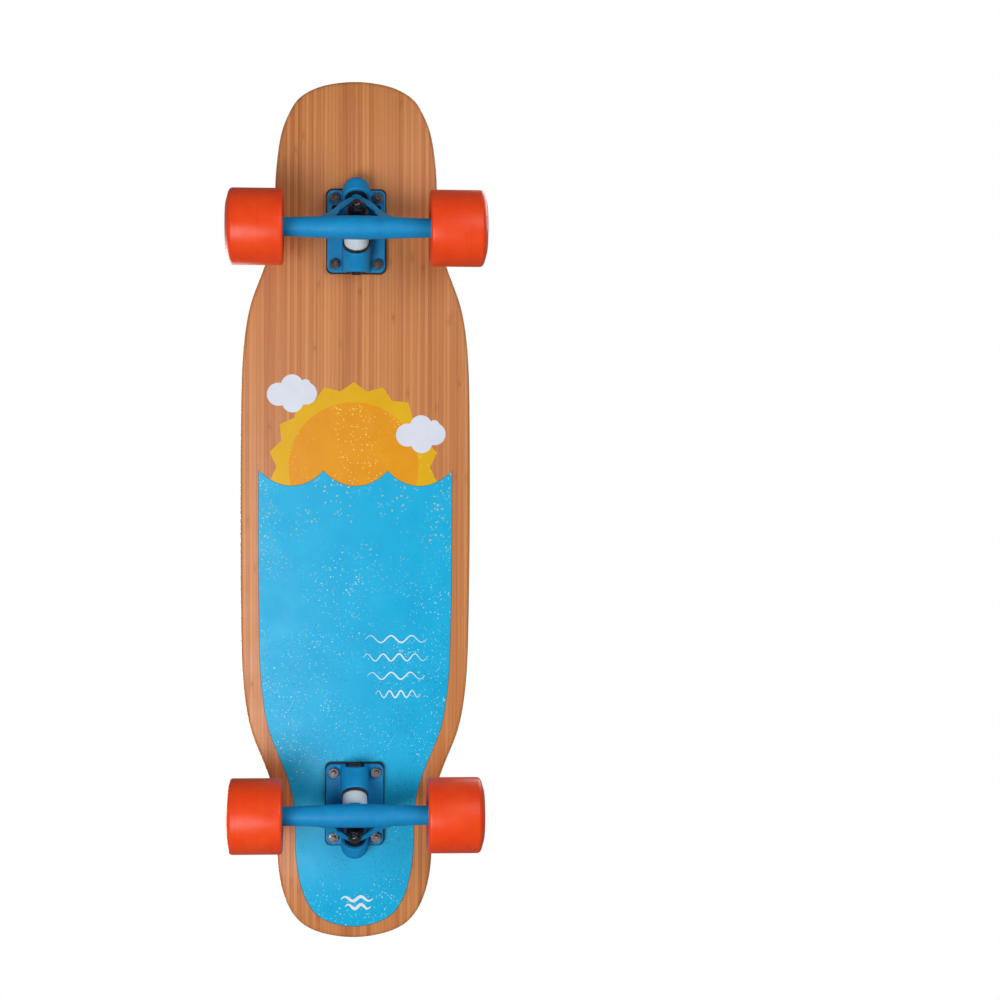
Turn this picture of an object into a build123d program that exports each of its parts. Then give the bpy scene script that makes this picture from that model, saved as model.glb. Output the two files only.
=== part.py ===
from build123d import *
from math import asin, cos, degrees, radians, sin, sqrt
import os

# A mini longboard, upright on its four wheels. Millimetres.
# X runs along the board towards the nose, Y towards the rider's left, Z up.
# The origin is on the floor, below the middle of the deck.

# ---------------------------------------------------------------- deck
DECK_LENGTH = 838.0  # nose tip to tail tip, 33 inches
DECK_WIDTH = 222.0  # widest, between the trucks
NOSE_WIDTH = 156.0
TAIL_WIDTH = 151.0
NOSE_OVERHANG = 146.0  # nose tip to the middle of the front bolt pattern
WHEELBASE = 556.0  # between the two bolt patterns
PLY = 1.55  # one ply, with its glue line
PLY_COUNT = 7
CONCAVE_RADIUS = 1000.0  # of the underside, across the board
NOSE_KICK_RADIUS = 290.0
TAIL_KICK_RADIUS = 250.0
KICK_START = 56.0  # from the middle of the bolt pattern to where a kick begins
RAIL_ROUNDING = 3.4
CUTTER_WIDTH = 244.0  # of the curved sheets that the outline cuts
KICK_SPARE = 40.0  # of a kick past its tip, cut off by the outline
KICK_SINE = 0.95  # most that a kick may turn, as a sine

# Outline, as (distance behind the tip, share of that end's width).
NOSE_SHAPE = (
    (2.0, 0.28), (5.0, 0.44), (11.0, 0.61), (18.0, 0.725),
    (29.0, 0.815), (46.0, 0.907), (70.0, 0.967), (100.0, 1.0),
)
TAIL_SHAPE = (
    (2.5, 0.30), (7.0, 0.50), (13.0, 0.645), (23.0, 0.775),
    (36.0, 0.872), (54.0, 0.948), (80.0, 0.997),
)
# Flare from the waist at a truck to full width, as (distance inboard, share of the flare).
FLARE = (
    (2.0, 0.05), (27.0, 0.24), (48.0, 0.47), (66.0, 0.67),
    (96.0, 0.86), (128.0, 0.95), (173.0, 0.99),
)

GRIP_THICKNESS = 0.8
GRIP_SIDE_MARGIN = 18.0  # bare wood beside the grip
GRIP_NOSE_MARGIN = 19.0
GRIP_TAIL_MARGIN = 11.0
BADGE_RADIUS = 54.0
BADGE_OFFSET = -29.0  # of its centre from the middle of the deck
BADGE_GAP = 0.3  # round the badge, in the grip

# ---------------------------------------------------------------- truck
# A truck's own frame: X outboard, towards its end of the board, Z up,
# origin on the baseplate's mounting face in the middle of the bolt pattern.
BOLTS_ALONG = 63.5  # 2.5 inches
BOLTS_INNER_ALONG = 54.0  # the second, closer pair of rows
BOLTS_ACROSS = 41.3  # 1.625 inches
BOLT_RADIUS = 2.4
BOLT_HOLE = 0.35  # radial clearance round a bolt
BOLT_HEAD_RADIUS = 4.8
BOLT_LENGTH = 28.6
MOUNT_NUT_FLATS = 9.5
MOUNT_NUT_HEIGHT = 5.2
BOLT_HEAD_RIM = 0.4
BOLT_SOCKET_FLATS = 3.2
BOLT_SOCKET_DEPTH = 2.2

RISER_THICKNESS = 3.0
RISER_LENGTH = 82.0
RISER_WIDTH = 58.0
BASE_LENGTH = 79.0
BASE_WIDTH = 56.0
BASE_THICKNESS = 5.5
BASE_CORNER = 6.0
BASE_CHAMFER = 1.0
NUT_POCKET_GAP = 1.2  # round a mounting nut's corners
NUT_POCKET_DEPTH = 0.6  # into the plate's face
NUT_POCKET_REACH = 20.0  # out of the plate, through the castings beside it

AXLE_DROP = 64.0  # mounting face to axle
AXLE_RADIUS = 4.0
AXLE_END = 2.0  # bare axle past each nut
AXLE_CHAMFER = 0.6
BEAM_RADIUS = 10.0
BEAM_CHAMFER = 1.5
HANGER_WIDTH = 150.0
# Outer edge of one arm in plan, as (outboard of the axle, across), from the beam to the tip.
ARM_EDGE = ((7.5, 48.0), (11.0, 33.0), (18.0, 22.0), (27.0, 12.5), (31.0, 7.0))
ARM_BACK = -6.0  # where the arms end inside the beam
WINDOW_HALF = 21.0  # of the window's wide end
WINDOW_TIP = 27.0  # outboard of the axle
WINDOW_TIP_HALF = 4.5
WEB_BELOW = 11.5  # of the web, from the kingpin's axis towards the road
WEB_ABOVE = 12.0
WEB_NECK = 7.5  # half height at the pivot nose
WEB_STOP = 5.5  # from the housing's mouth back to the web

KINGPIN_RADIUS = 4.76
KINGPIN_LEAN = 50.0  # from the vertical, outboard
KINGPIN_OUT = -38.0  # outer end of the head
KINGPIN_DROP = 9.0
HEAD_HEIGHT = 6.0
HEAD_FLATS = 14.3
HEAD_ROUNDING = 0.8
HEAD_CORNER_GAP = 1.0  # between the head's corners and its pocket, both together
HEAD_FLAT_GAP = 2.0
PIN_CHAMFER = 1.0
BOSS_RADIUS = 13.5
BOSS_SPARE = 10.0  # of the boss behind the head, trimmed flush with the plate
BOSS_END = 30.0  # along the kingpin from the outer end of its head
CUP_WASHER = 1.5
CUP_RIM = 2.0
CUP_WALL = 0.8
CUP_BEVEL = 0.6
BUSHING_BEVEL = 1.0
BUSHING_SEAT_GAP = 0.3  # inside a cup's rim
BOARD_BUSHING_HEIGHT = 15.0
BOARD_BUSHING_RADIUS = 11.8
RING_THICKNESS = 9.0
RING_BORE = 7.0
RING_BORE_BACK = 20.0  # of the bore, towards the boss
RECESS_GAP = 0.6  # round the road side cup
RECESS_SPARE = 0.4  # past the cup at the steering limit
ROAD_BUSHING_HEIGHT = 13.0
ROAD_BUSHING_RADIUS = 10.6
ROAD_CUP_RADIUS = 11.0
KINGPIN_NUT_HEIGHT = 9.0
KINGPIN_TAIL = 3.0  # thread past the nut
STEER_LIMIT = 15.0  # degrees each way

PIVOT_OUT = 38.0  # centre of the pivot's round end
PIVOT_DROP = 12.0
PIVOT_RADIUS = 6.0
PIVOT_HOUSING_RADIUS = 13.5
PIVOT_MOUTH = 9.0  # from the pivot's centre back to the housing's mouth
PIVOT_BUSH_WALL = 2.4
PIVOT_BUSH_LIP = 2.2
PIVOT_BUSH_LIP_THICKNESS = 1.2
PIVOT_BORE_SPARE = 5.0
PIVOT_ROOT = 9.0  # of the pivot nose, inside the arms
FOOT_TOE = 4.0  # of the housing's ramp, past the plate's end
FOOT_INSET = 1.0  # of the ramp's sides from the housing's
PIVOT_CUP_DEPTH = 7.4  # from the pivot's centre to the bottom of its cup

# ---------------------------------------------------------------- wheel
WHEEL_RADIUS = 36.0
WHEEL_WIDTH = 54.0
WHEEL_DISH = 3.0  # bulge of the outer face
WHEEL_OVERLAP = 6.5  # how far the inner lip reaches over the hanger's end
CORE_RADIUS = 19.5
BEARING_RADIUS = 11.0
BEARING_WIDTH = 7.0
RACE_OUTER = 8.9  # inner wall of the outer race
RACE_INNER = 6.6  # outer wall of the inner race
BALL_RADIUS = 1.98
BALL_COUNT = 7
CAGE_HEIGHT = 5.0
CAGE_WALL = 0.5  # each way from the middle of the balls
SHIELD_THICKNESS = 0.5
SHIELD_INSET = 0.1  # from the bearing's face
SHIELD_GAP = 0.2  # to the inner race
SPACER_LENGTH = 10.0
SPEED_WASHER = 1.0
SPEED_WASHER_RADIUS = 7.0
SPACER_RADIUS = 5.8
AXLE_NUT_HEIGHT = 8.0
AXLE_NUT_FLATS = 13.0

# ---------------------------------------------------------------- lock nuts
COLLAR_HEIGHT = 0.3  # share of the nut's height
COLLAR_LIMIT = 2.5
COLLAR_RADIUS = 0.46  # share of the size across flats, as are the next two
NUT_FACE = 0.52
NUT_CORNER = 0.58
NUT_BEVEL = 1.0

# ---------------------------------------------------------------- clearances
RUNNING = 0.05  # radial, where one piece turns in another
SEATED = 0.02  # radial, where a piece is held
REACH = 400.0  # longer than any cut needs

# ---------------------------------------------------------------- worked out
DECK_THICKNESS = PLY * PLY_COUNT
MOUNT_Z = WHEEL_RADIUS + AXLE_DROP
UNDERSIDE_Z = MOUNT_Z + RISER_THICKNESS
NOSE_X = DECK_LENGTH / 2
TAIL_X = -DECK_LENGTH / 2
FRONT_X = NOSE_X - NOSE_OVERHANG
REAR_X = FRONT_X - WHEELBASE
BEARING_START = HANGER_WIDTH / 2 + SPEED_WASHER
BEARING_PITCH = BEARING_WIDTH + SPACER_LENGTH
BEARING_STOP = BEARING_START + BEARING_PITCH + BEARING_WIDTH
AXLE_LENGTH = 2 * (BEARING_STOP + SPEED_WASHER + AXLE_NUT_HEIGHT + AXLE_END)
WHEEL_INNER_LIP = HANGER_WIDTH / 2 - WHEEL_OVERLAP  # from the board's centre line

KINGPIN = Vector(sin(radians(KINGPIN_LEAN)), 0, -cos(radians(KINGPIN_LEAN)))
KINGPIN_START = Vector(KINGPIN_OUT, 0, -KINGPIN_DROP)
SEAT_PLANE_UP = Vector(cos(radians(KINGPIN_LEAN)), 0, sin(radians(KINGPIN_LEAN)))
BOARD_BUSHING_START = BOSS_END + CUP_WASHER
RING_START = BOARD_BUSHING_START + BOARD_BUSHING_HEIGHT
RING_MIDDLE = RING_START + RING_THICKNESS / 2
RING_END = RING_START + RING_THICKNESS
ROAD_BUSHING_END = RING_END + ROAD_BUSHING_HEIGHT
NUT_START = ROAD_BUSHING_END + CUP_WASHER
NUT_END = NUT_START + KINGPIN_NUT_HEIGHT
KINGPIN_END = NUT_END + KINGPIN_TAIL
RING_CENTRE = KINGPIN_START + KINGPIN * RING_MIDDLE
PIVOT_CENTRE = Vector(PIVOT_OUT, 0, -PIVOT_DROP)
STEER_AXIS = (PIVOT_CENTRE - RING_CENTRE).normalized()
STEER_ACROSS = Vector(-STEER_AXIS.Z, 0, STEER_AXIS.X)


def along_kingpin(distance):
    """Point on the kingpin's axis, that far from the outer end of its head."""
    return KINGPIN_START + KINGPIN * distance


def placed(shape, start, direction):
    """A shape drawn about Z, stood at start and pointed along direction."""
    return Plane(origin=start, x_dir=(0, 1, 0), z_dir=direction).location * shape


def turned(points):
    """Solid of revolution about Z through (radius, height) points."""
    outline = Polyline([(r, 0, h) for r, h in points], close=True)
    return revolve(make_face(outline), Axis.Z)


def tube(outer, inner, height):
    """Plain tube standing on the XY plane."""
    return turned([(inner, 0), (outer, 0), (outer, height), (inner, height)])


def rod(radius, height):
    """Plain rod standing on the XY plane."""
    return Pos(0, 0, height / 2) * Cylinder(radius, height)


def hex_prism(flats, height):
    """Hexagonal bar of a size across flats, standing on the XY plane."""
    return extrude(RegularPolygon(flats / sqrt(3), 6), height)


def side_slab(points, half_width):
    """Slab across the board from a side outline of (x, z) points."""
    outline = Polyline([(x, -half_width, z) for x, z in points], close=True)
    return extrude(make_face(outline), amount=2 * half_width, dir=(0, 1, 0))


def node(name, shape):
    """Write one sub-part's solids to its own file."""
    solids = shape if isinstance(shape, list) else shape.solids()
    export_step(Compound(children=list(solids)), f"parts/{name}.step")
    print(name, len(solids))


# ---------------------------------------------------------------- deck shape
def half_outline(nose_x, tail_x, nose_half, tail_half, body_half):
    """Points of the deck's left edge, from nose tip to tail tip."""
    points = [(nose_x, 0)]
    points += [(nose_x - back, share * nose_half) for back, share in NOSE_SHAPE]
    points += [
        (FRONT_X - inboard, nose_half + share * (body_half - nose_half))
        for inboard, share in FLARE
    ]
    points += [
        (REAR_X + inboard, tail_half + share * (body_half - tail_half))
        for inboard, share in reversed(FLARE)
    ]
    points += [(tail_x + ahead, share * tail_half) for ahead, share in reversed(TAIL_SHAPE)]
    points.append((tail_x, 0))
    return points


def outline_prism(side_margin, nose_margin, tail_margin):
    """Tall prism on the deck's outline, drawn in by the margins."""
    points = half_outline(
        NOSE_X - nose_margin,
        TAIL_X + tail_margin,
        NOSE_WIDTH / 2 - side_margin,
        TAIL_WIDTH / 2 - side_margin,
        DECK_WIDTH / 2 - side_margin,
    )
    right = [(x, -y) for x, y in reversed(points[1:-1])]
    middle = len(points) // 2
    loop = points[middle:] + right + points[:middle]
    face = make_face(Spline(*loop, periodic=True))
    return Pos(0, 0, UNDERSIDE_Z - DECK_WIDTH) * extrude(face, 2 * DECK_WIDTH)


def sheet(low, high):
    """Sheet between two heights above the underside, with the concave and both kicks."""
    half = CUTTER_WIDTH / 2
    centre_z = UNDERSIDE_Z + CONCAVE_RADIUS
    flat_start = REAR_X - KICK_START
    flat_length = FRONT_X + KICK_START - flat_start

    def height(above, y):
        return centre_z - sqrt((CONCAVE_RADIUS - above) ** 2 - y**2)

    def arc(x, above):
        ends = [(x, y, height(above, y)) for y in (-half, 0, half)]
        return ThreePointArc(*ends)

    def section(x):
        lower, upper = arc(x, low), arc(x, high)
        return make_face([lower, Line(lower @ 1, upper @ 1), upper, Line(upper @ 0, lower @ 0)])

    def kick(x, radius, axis_dir, tip_x):
        reach = degrees(asin(min(KICK_SINE, (abs(tip_x - x) + KICK_SPARE) / radius)))
        return revolve(section(x), Axis((x, 0, UNDERSIDE_Z + radius), axis_dir), reach)

    middle = extrude(section(flat_start), amount=flat_length, dir=(1, 0, 0))
    nose = kick(flat_start + flat_length, NOSE_KICK_RADIUS, (0, -1, 0), NOSE_X)
    tail = kick(flat_start, TAIL_KICK_RADIUS, (0, 1, 0), TAIL_X)
    return middle + nose + tail


def bolt_places(along=BOLTS_ALONG):
    """Corners of one truck's bolt pattern, in the truck's frame."""
    return [(sx * along / 2, sy * BOLTS_ACROSS / 2) for sx in (1, -1) for sy in (1, -1)]


def all_bolt_places():
    """Every mounting bolt's place on the board."""
    return [(x + bx, by) for x in (FRONT_X, REAR_X) for bx, by in bolt_places()]


def deck_top_at(y):
    """Height of the deck's top face at a place across the flat part."""
    radius = CONCAVE_RADIUS - DECK_THICKNESS
    return UNDERSIDE_Z + CONCAVE_RADIUS - sqrt(radius**2 - y**2)


HEAD_TOP_Z = deck_top_at(BOLTS_ACROSS / 2) + GRIP_THICKNESS
HEAD_CONE = BOLT_HEAD_RADIUS - BOLT_RADIUS  # a 90 degree countersink


def bolt_profile(clearance):
    """Countersunk bolt, head up, its head's top at the origin, grown by a clearance."""
    shank, head = BOLT_RADIUS + clearance, BOLT_HEAD_RADIUS + clearance
    return [
        (0, clearance),
        (head, clearance),
        (head, -BOLT_HEAD_RIM),
        (shank, -BOLT_HEAD_RIM - (head - shank)),
        (shank, -BOLT_LENGTH - clearance),
        (0, -BOLT_LENGTH - clearance),
    ]


def rounding_inset(above):
    """How far the rounded rail draws a ply in, at a height above the underside."""
    depth = min(above, DECK_THICKNESS - above)
    if depth >= RAIL_ROUNDING:
        return 0.0
    return RAIL_ROUNDING - sqrt(RAIL_ROUNDING**2 - (RAIL_ROUNDING - depth) ** 2)


def deck_parts():
    """Plies, grip and badge."""
    hole = turned(bolt_profile(RUNNING))
    shank_hole = rod(BOLT_RADIUS + BOLT_HOLE, REACH)
    holes = []
    for x, y in all_bolt_places():
        holes.append(Pos(x, y, HEAD_TOP_Z) * hole)
        holes.append(Pos(x, y, HEAD_TOP_Z - 1 - HEAD_CONE - REACH) * shank_hole)
    plies = []
    for i in range(PLY_COUNT):
        inset = rounding_inset((i + 0.5) * PLY)
        ply = sheet(i * PLY, (i + 1) * PLY) & outline_prism(inset, inset, inset)
        plies.append(ply - holes)
    node("deck_bottom_ply", plies[0])
    node("deck_core_plies", [s for ply in plies[1:-1] for s in ply.solids()])
    node("deck_top_ply", plies[-1])

    skin = sheet(DECK_THICKNESS, DECK_THICKNESS + GRIP_THICKNESS)
    panel = skin & outline_prism(GRIP_SIDE_MARGIN, GRIP_NOSE_MARGIN, GRIP_TAIL_MARGIN)
    badge_at = Pos(BADGE_OFFSET, 0, UNDERSIDE_Z - DECK_WIDTH)
    node("grip_sheet", panel - badge_at * rod(BADGE_RADIUS + BADGE_GAP, REACH * 2) - holes)
    node("deck_badge", skin & badge_at * rod(BADGE_RADIUS, REACH * 2))


# ---------------------------------------------------------------- truck pieces
def riser_pad():
    """Flexible pad between baseplate and deck, its top following the deck."""
    plate = extrude(RectangleRounded(RISER_LENGTH, RISER_WIDTH, BASE_CORNER), RISER_THICKNESS * 2)
    deck = Pos(-FRONT_X, 0, -MOUNT_Z) * sheet(0, DECK_THICKNESS)
    pad = plate - deck
    for x, y in bolt_places():
        pad -= Pos(x, y, 0) * rod(BOLT_RADIUS + BOLT_HOLE, RISER_THICKNESS * 2)
    return pad.solids().sort_by(Axis.Z)[0]


def baseplate():
    """Plate with the kingpin boss inboard and the pivot housing outboard."""
    outline = RectangleRounded(BASE_LENGTH, BASE_WIDTH, BASE_CORNER)
    plate = extrude(outline, -BASE_THICKNESS)
    plate = chamfer(plate.faces().sort_by(Axis.Z)[0].edges(), BASE_CHAMFER)
    boss = placed(rod(BOSS_RADIUS, BOSS_END + BOSS_SPARE), along_kingpin(-BOSS_SPARE), KINGPIN)
    boss_fill = side_slab(boss_side(), BOSS_RADIUS)
    mouth = PIVOT_CENTRE - STEER_AXIS * PIVOT_MOUTH
    housing = placed(bullet(PIVOT_HOUSING_RADIUS, PIVOT_MOUTH), PIVOT_CENTRE, STEER_AXIS)
    below = Pos(0, 0, -REACH / 2) * Box(REACH, REACH, REACH)
    inboard_face = Pos(-BASE_LENGTH / 2 + REACH / 2, 0, -REACH / 2) * Box(REACH, REACH, REACH)
    solid = plate + ((boss + boss_fill) & inboard_face) + (housing & below) + housing_foot()
    bush_hole = rod(PIVOT_RADIUS + PIVOT_BUSH_WALL + SEATED, PIVOT_MOUTH + PIVOT_CUP_DEPTH)
    solid -= placed(bush_hole, mouth, STEER_AXIS)
    solid -= placed(rod(KINGPIN_RADIUS + SEATED, REACH), along_kingpin(0), KINGPIN)
    solid -= head_pocket()
    pocket_radius = MOUNT_NUT_FLATS / sqrt(3) + NUT_POCKET_GAP
    nut_pocket = rod(pocket_radius, NUT_POCKET_REACH + NUT_POCKET_DEPTH)
    rows = bolt_places() + [(BOLTS_INNER_ALONG - BOLTS_ALONG / 2, y) for _, y in bolt_places()[:2]]
    for x, y in rows:
        solid -= Pos(x, y, -REACH / 2) * rod(BOLT_RADIUS + BOLT_HOLE, REACH)
        solid -= Pos(x, y, -BASE_THICKNESS - NUT_POCKET_REACH) * nut_pocket
    return solid.solids().sort_by(SortBy.VOLUME)[-1]


def boss_side():
    """Side outline of the fill between the kingpin boss and the plate."""
    low = along_kingpin(BOSS_END)
    top = low + SEAT_PLANE_UP * BOSS_RADIUS
    back = -BASE_LENGTH / 2
    return [(back, 0), (top.X, 0), (top.X, top.Z), (low.X, low.Z), (back, -KINGPIN_DROP)]


def housing_foot():
    """Ramp that carries the pivot housing on the plate."""
    mouth = PIVOT_CENTRE - STEER_AXIS * PIVOT_MOUTH
    top = mouth + STEER_ACROSS * PIVOT_HOUSING_RADIUS
    toe = BASE_LENGTH / 2 + FOOT_TOE
    outline = [(top.X, 0), (toe, 0), (PIVOT_OUT, -PIVOT_DROP), (mouth.X, mouth.Z), (top.X, top.Z)]
    return side_slab(outline, PIVOT_HOUSING_RADIUS - FOOT_INSET)


def head_pocket():
    """Pocket for the kingpin's head, open at the plate's end and mounting face."""
    corners = HEAD_FLATS / cos(radians(30))
    start = along_kingpin(HEAD_HEIGHT)
    channel = Box(corners + HEAD_CORNER_GAP, HEAD_FLATS + HEAD_FLAT_GAP, REACH)
    return placed(Pos(0, 0, REACH / 2) * channel, start, KINGPIN * -1)


def kingpin():
    """Hex-headed bolt that the hanger and bushings hang on."""
    head = fillet(hex_prism(HEAD_FLATS, HEAD_HEIGHT).edges().group_by(Axis.Z)[0], HEAD_ROUNDING)
    pin = head + rod(KINGPIN_RADIUS, KINGPIN_END)
    pin = chamfer(pin.faces().sort_by(Axis.Z)[-1].edges(), PIN_CHAMFER)
    return placed(pin, KINGPIN_START, KINGPIN)


def lock_nut(flats, height, bore):
    """Hex nut with a round locking collar on top."""
    collar = min(COLLAR_LIMIT, height * COLLAR_HEIGHT)
    corner = flats * NUT_CORNER
    blank = turned([(0, 0), (flats * NUT_FACE, 0), (corner, NUT_BEVEL), (corner, height), (0, height)])
    body = hex_prism(flats, height - collar) & blank
    return body + rod(flats * COLLAR_RADIUS, height) - rod(bore, height)


def cup_washer(radius):
    """Dished washer whose rim holds a bushing, opening upwards."""
    bore = KINGPIN_RADIUS + SEATED
    rim = CUP_WASHER + CUP_RIM
    return turned(
        [
            (bore, 0), (radius - CUP_BEVEL, 0), (radius, CUP_BEVEL), (radius, rim),
            (radius - CUP_WALL, rim), (radius - CUP_WALL, CUP_WASHER), (bore, CUP_WASHER),
        ]
    )


def board_bushing():
    """Barrel bushing on the board's side of the ring."""
    r, h = BOARD_BUSHING_RADIUS, BOARD_BUSHING_HEIGHT
    bore = KINGPIN_RADIUS + RUNNING
    seat = r - BUSHING_SEAT_GAP
    body = turned(
        [
            (bore, 0), (seat, 0), (seat, CUP_RIM), (r, CUP_RIM + BUSHING_BEVEL),
            (r, h - BUSHING_BEVEL), (r - BUSHING_BEVEL, h), (bore, h),
        ]
    )
    return placed(body, along_kingpin(BOARD_BUSHING_START), KINGPIN)


def road_bushing():
    """Slightly conical bushing on the road side of the ring."""
    r, h = ROAD_BUSHING_RADIUS, ROAD_BUSHING_HEIGHT
    bore = KINGPIN_RADIUS + RUNNING
    tip = ROAD_CUP_RADIUS - CUP_WALL - BUSHING_SEAT_GAP
    body = turned(
        [
            (bore, 0), (r - BUSHING_BEVEL, 0), (r, BUSHING_BEVEL),
            (tip, h - CUP_RIM - BUSHING_BEVEL), (tip, h), (bore, h),
        ]
    )
    return placed(body, along_kingpin(RING_END), KINGPIN)


def bullet(radius, back):
    """Rod up to the XY plane, with a round end above it."""
    slant = radius * sin(radians(45))
    dome = ThreePointArc((radius, 0, 0), (slant, 0, slant), (0, 0, radius))
    sides = Polyline((0, 0, radius), (0, 0, -back), (radius, 0, -back), (radius, 0, 0))
    return revolve(make_face([dome, sides]), Axis.Z)


def pivot_bush():
    """Plastic cup that the pivot nose turns in."""
    outer = PIVOT_RADIUS + PIVOT_BUSH_WALL
    lip = rod(outer + PIVOT_BUSH_LIP, PIVOT_BUSH_LIP_THICKNESS)
    body = Pos(0, 0, -PIVOT_MOUTH) * rod(outer, PIVOT_MOUTH + PIVOT_CUP_DEPTH)
    cup = body + Pos(0, 0, -PIVOT_MOUTH - PIVOT_BUSH_LIP_THICKNESS) * lip
    cup -= bullet(PIVOT_RADIUS + RUNNING, PIVOT_MOUTH + PIVOT_BORE_SPARE)
    return placed(cup, PIVOT_CENTRE, STEER_AXIS)


def arm_plan():
    """Plan of the hanger's two arms, their outer edges sweeping into the beam."""
    left = Spline(*ARM_EDGE, tangents=[(0, -1), (1, -1)])
    right = mirror(left, Plane.XZ)
    first, last = ARM_EDGE[0], ARM_EDGE[-1]
    back = Polyline((first[0], first[1]), (ARM_BACK, first[1]), (ARM_BACK, -first[1]), (first[0], -first[1]))
    front = Line((last[0], last[1]), (last[0], -last[1]))
    return make_face([left, front, right, back])


def hanger_body():
    """Web between the beam and the pivot nose, in side and plan outline."""
    face = along_kingpin(RING_START)
    root = PIVOT_CENTRE - STEER_AXIS * (PIVOT_MOUTH + WEB_STOP)
    low = face - SEAT_PLANE_UP * WEB_BELOW
    high = face + SEAT_PLANE_UP * WEB_ABOVE
    nose_up = root + STEER_ACROSS * WEB_NECK
    nose_down = root - STEER_ACROSS * WEB_NECK
    side = [
        (low.X, low.Z), (high.X, high.Z), (nose_up.X, nose_up.Z), (nose_down.X, nose_down.Z),
        (BEAM_RADIUS * 0.65, -AXLE_DROP - BEAM_RADIUS * 0.75), (low.X, -AXLE_DROP),
    ]
    plan = Pos(0, 0, -REACH) * extrude(arm_plan(), REACH)
    return side_slab(side, REACH / 4) & plan


def hanger():
    """Cast hanger: beam, arms, ring for the bushings and pivot nose."""
    beam = Pos(0, 0, -AXLE_DROP) * Rot(90, 0, 0) * Cylinder(BEAM_RADIUS, HANGER_WIDTH)
    beam = chamfer(beam.edges(), BEAM_CHAMFER)
    nose = placed(bullet(PIVOT_RADIUS, PIVOT_MOUTH + PIVOT_ROOT), PIVOT_CENTRE, STEER_AXIS)
    ring = placed(rod(BOARD_BUSHING_RADIUS, RING_THICKNESS), along_kingpin(RING_START), KINGPIN)
    solid = beam + hanger_body() + ring + nose
    solid -= placed(rod(RING_BORE, REACH / 2), along_kingpin(RING_START - RING_BORE_BACK), KINGPIN)
    solid -= nut_recess()
    solid -= Pos(0, 0, -AXLE_DROP) * Rot(90, 0, 0) * Cylinder(AXLE_RADIUS + SEATED, REACH)
    return solid.solids().sort_by(SortBy.VOLUME)[-1]


def nut_recess():
    """Triangular window that the road side bushing, washer and nut stand in."""
    swing = (NUT_START - RING_MIDDLE) * sin(radians(STEER_LIMIT)) + RECESS_SPARE
    slot = SlotCenterToCenter(2 * swing, 2 * (ROAD_CUP_RADIUS + RECESS_GAP))
    bowl = placed(extrude(slot, REACH / 2), along_kingpin(RING_END), KINGPIN)
    wide = [(BEAM_RADIUS, WINDOW_HALF), (WINDOW_TIP, WINDOW_TIP_HALF)]
    window = Polyline(wide + [(x, -y) for x, y in reversed(wide)], close=True)
    tall = Pos(0, 0, -REACH) * extrude(make_face(window), REACH)
    half_space = Pos(0, 0, REACH / 2) * Box(REACH, REACH, REACH)
    road_side = placed(half_space, along_kingpin(RING_END), KINGPIN)
    return bowl + (tall & road_side)


def truck_nodes(end, location):
    """Write every piece of one truck."""
    cup_down = along_kingpin(BOSS_END)
    node(f"{end}_riser_pad", location * riser_pad())
    node(f"{end}_baseplate", location * baseplate())
    node(f"{end}_pivot_bush", location * pivot_bush())
    node(f"{end}_kingpin", location * kingpin())
    nut = lock_nut(HEAD_FLATS, KINGPIN_NUT_HEIGHT, KINGPIN_RADIUS + SEATED)
    node(f"{end}_kingpin_nut", location * placed(nut, along_kingpin(NUT_START), KINGPIN))
    upper = placed(cup_washer(BOARD_BUSHING_RADIUS + 0.9), cup_down, KINGPIN)
    lower = placed(cup_washer(ROAD_CUP_RADIUS), along_kingpin(NUT_START), KINGPIN * -1)
    node(f"{end}_cup_washers", [location * upper.solid(), location * lower.solid()])
    node(f"{end}_board_bushing", location * board_bushing())
    node(f"{end}_road_bushing", location * road_bushing())
    node(f"{end}_hanger", location * hanger())
    axle_place = location * Pos(0, 0, -AXLE_DROP)
    axle = Rot(90, 0, 0) * chamfer(Cylinder(AXLE_RADIUS, AXLE_LENGTH).edges(), AXLE_CHAMFER)
    node(f"{end}_axle", axle_place * axle)
    washers, nuts, races, spacers = [], [], [], []
    for turn in (0, 180):
        side = axle_place * Rot(0, 0, turn) * Rot(-90, 0, 0)
        bore = AXLE_RADIUS + SEATED
        washer = tube(SPEED_WASHER_RADIUS, bore, SPEED_WASHER)
        washers += [side * Pos(0, 0, z) * washer for z in (HANGER_WIDTH / 2, BEARING_STOP)]
        nut = lock_nut(AXLE_NUT_FLATS, AXLE_NUT_HEIGHT, bore)
        nuts.append(side * Pos(0, 0, BEARING_STOP + SPEED_WASHER) * nut)
        for z in (BEARING_START, BEARING_START + BEARING_PITCH):
            races.append(side * Pos(0, 0, z) * race(bore, RACE_INNER))
        spacer = tube(SPACER_RADIUS, bore, SPACER_LENGTH)
        spacers.append(side * Pos(0, 0, BEARING_START + BEARING_WIDTH) * spacer)
    for name, shapes in (
        ("speed_washers", washers), ("axle_nuts", nuts),
        ("bearing_inner_races", races), ("bearing_spacers", spacers),
    ):
        node(f"{end}_{name}", [s for shape in shapes for s in shape.solids()])


# ---------------------------------------------------------------- wheel pieces
def race(inner, outer):
    """Bearing race between two radii, standing on the XY plane, grooved for the balls."""
    groove = Torus((RACE_INNER + RACE_OUTER) / 2, BALL_RADIUS + RUNNING)
    return tube(outer, inner, BEARING_WIDTH) - Pos(0, 0, BEARING_WIDTH / 2) * groove


def ball_places():
    """Places of one bearing's balls."""
    first = Pos((RACE_INNER + RACE_OUTER) / 2, 0, BEARING_WIDTH / 2)
    return [Rot(0, 0, i * 360 / BALL_COUNT) * first for i in range(BALL_COUNT)]


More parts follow.
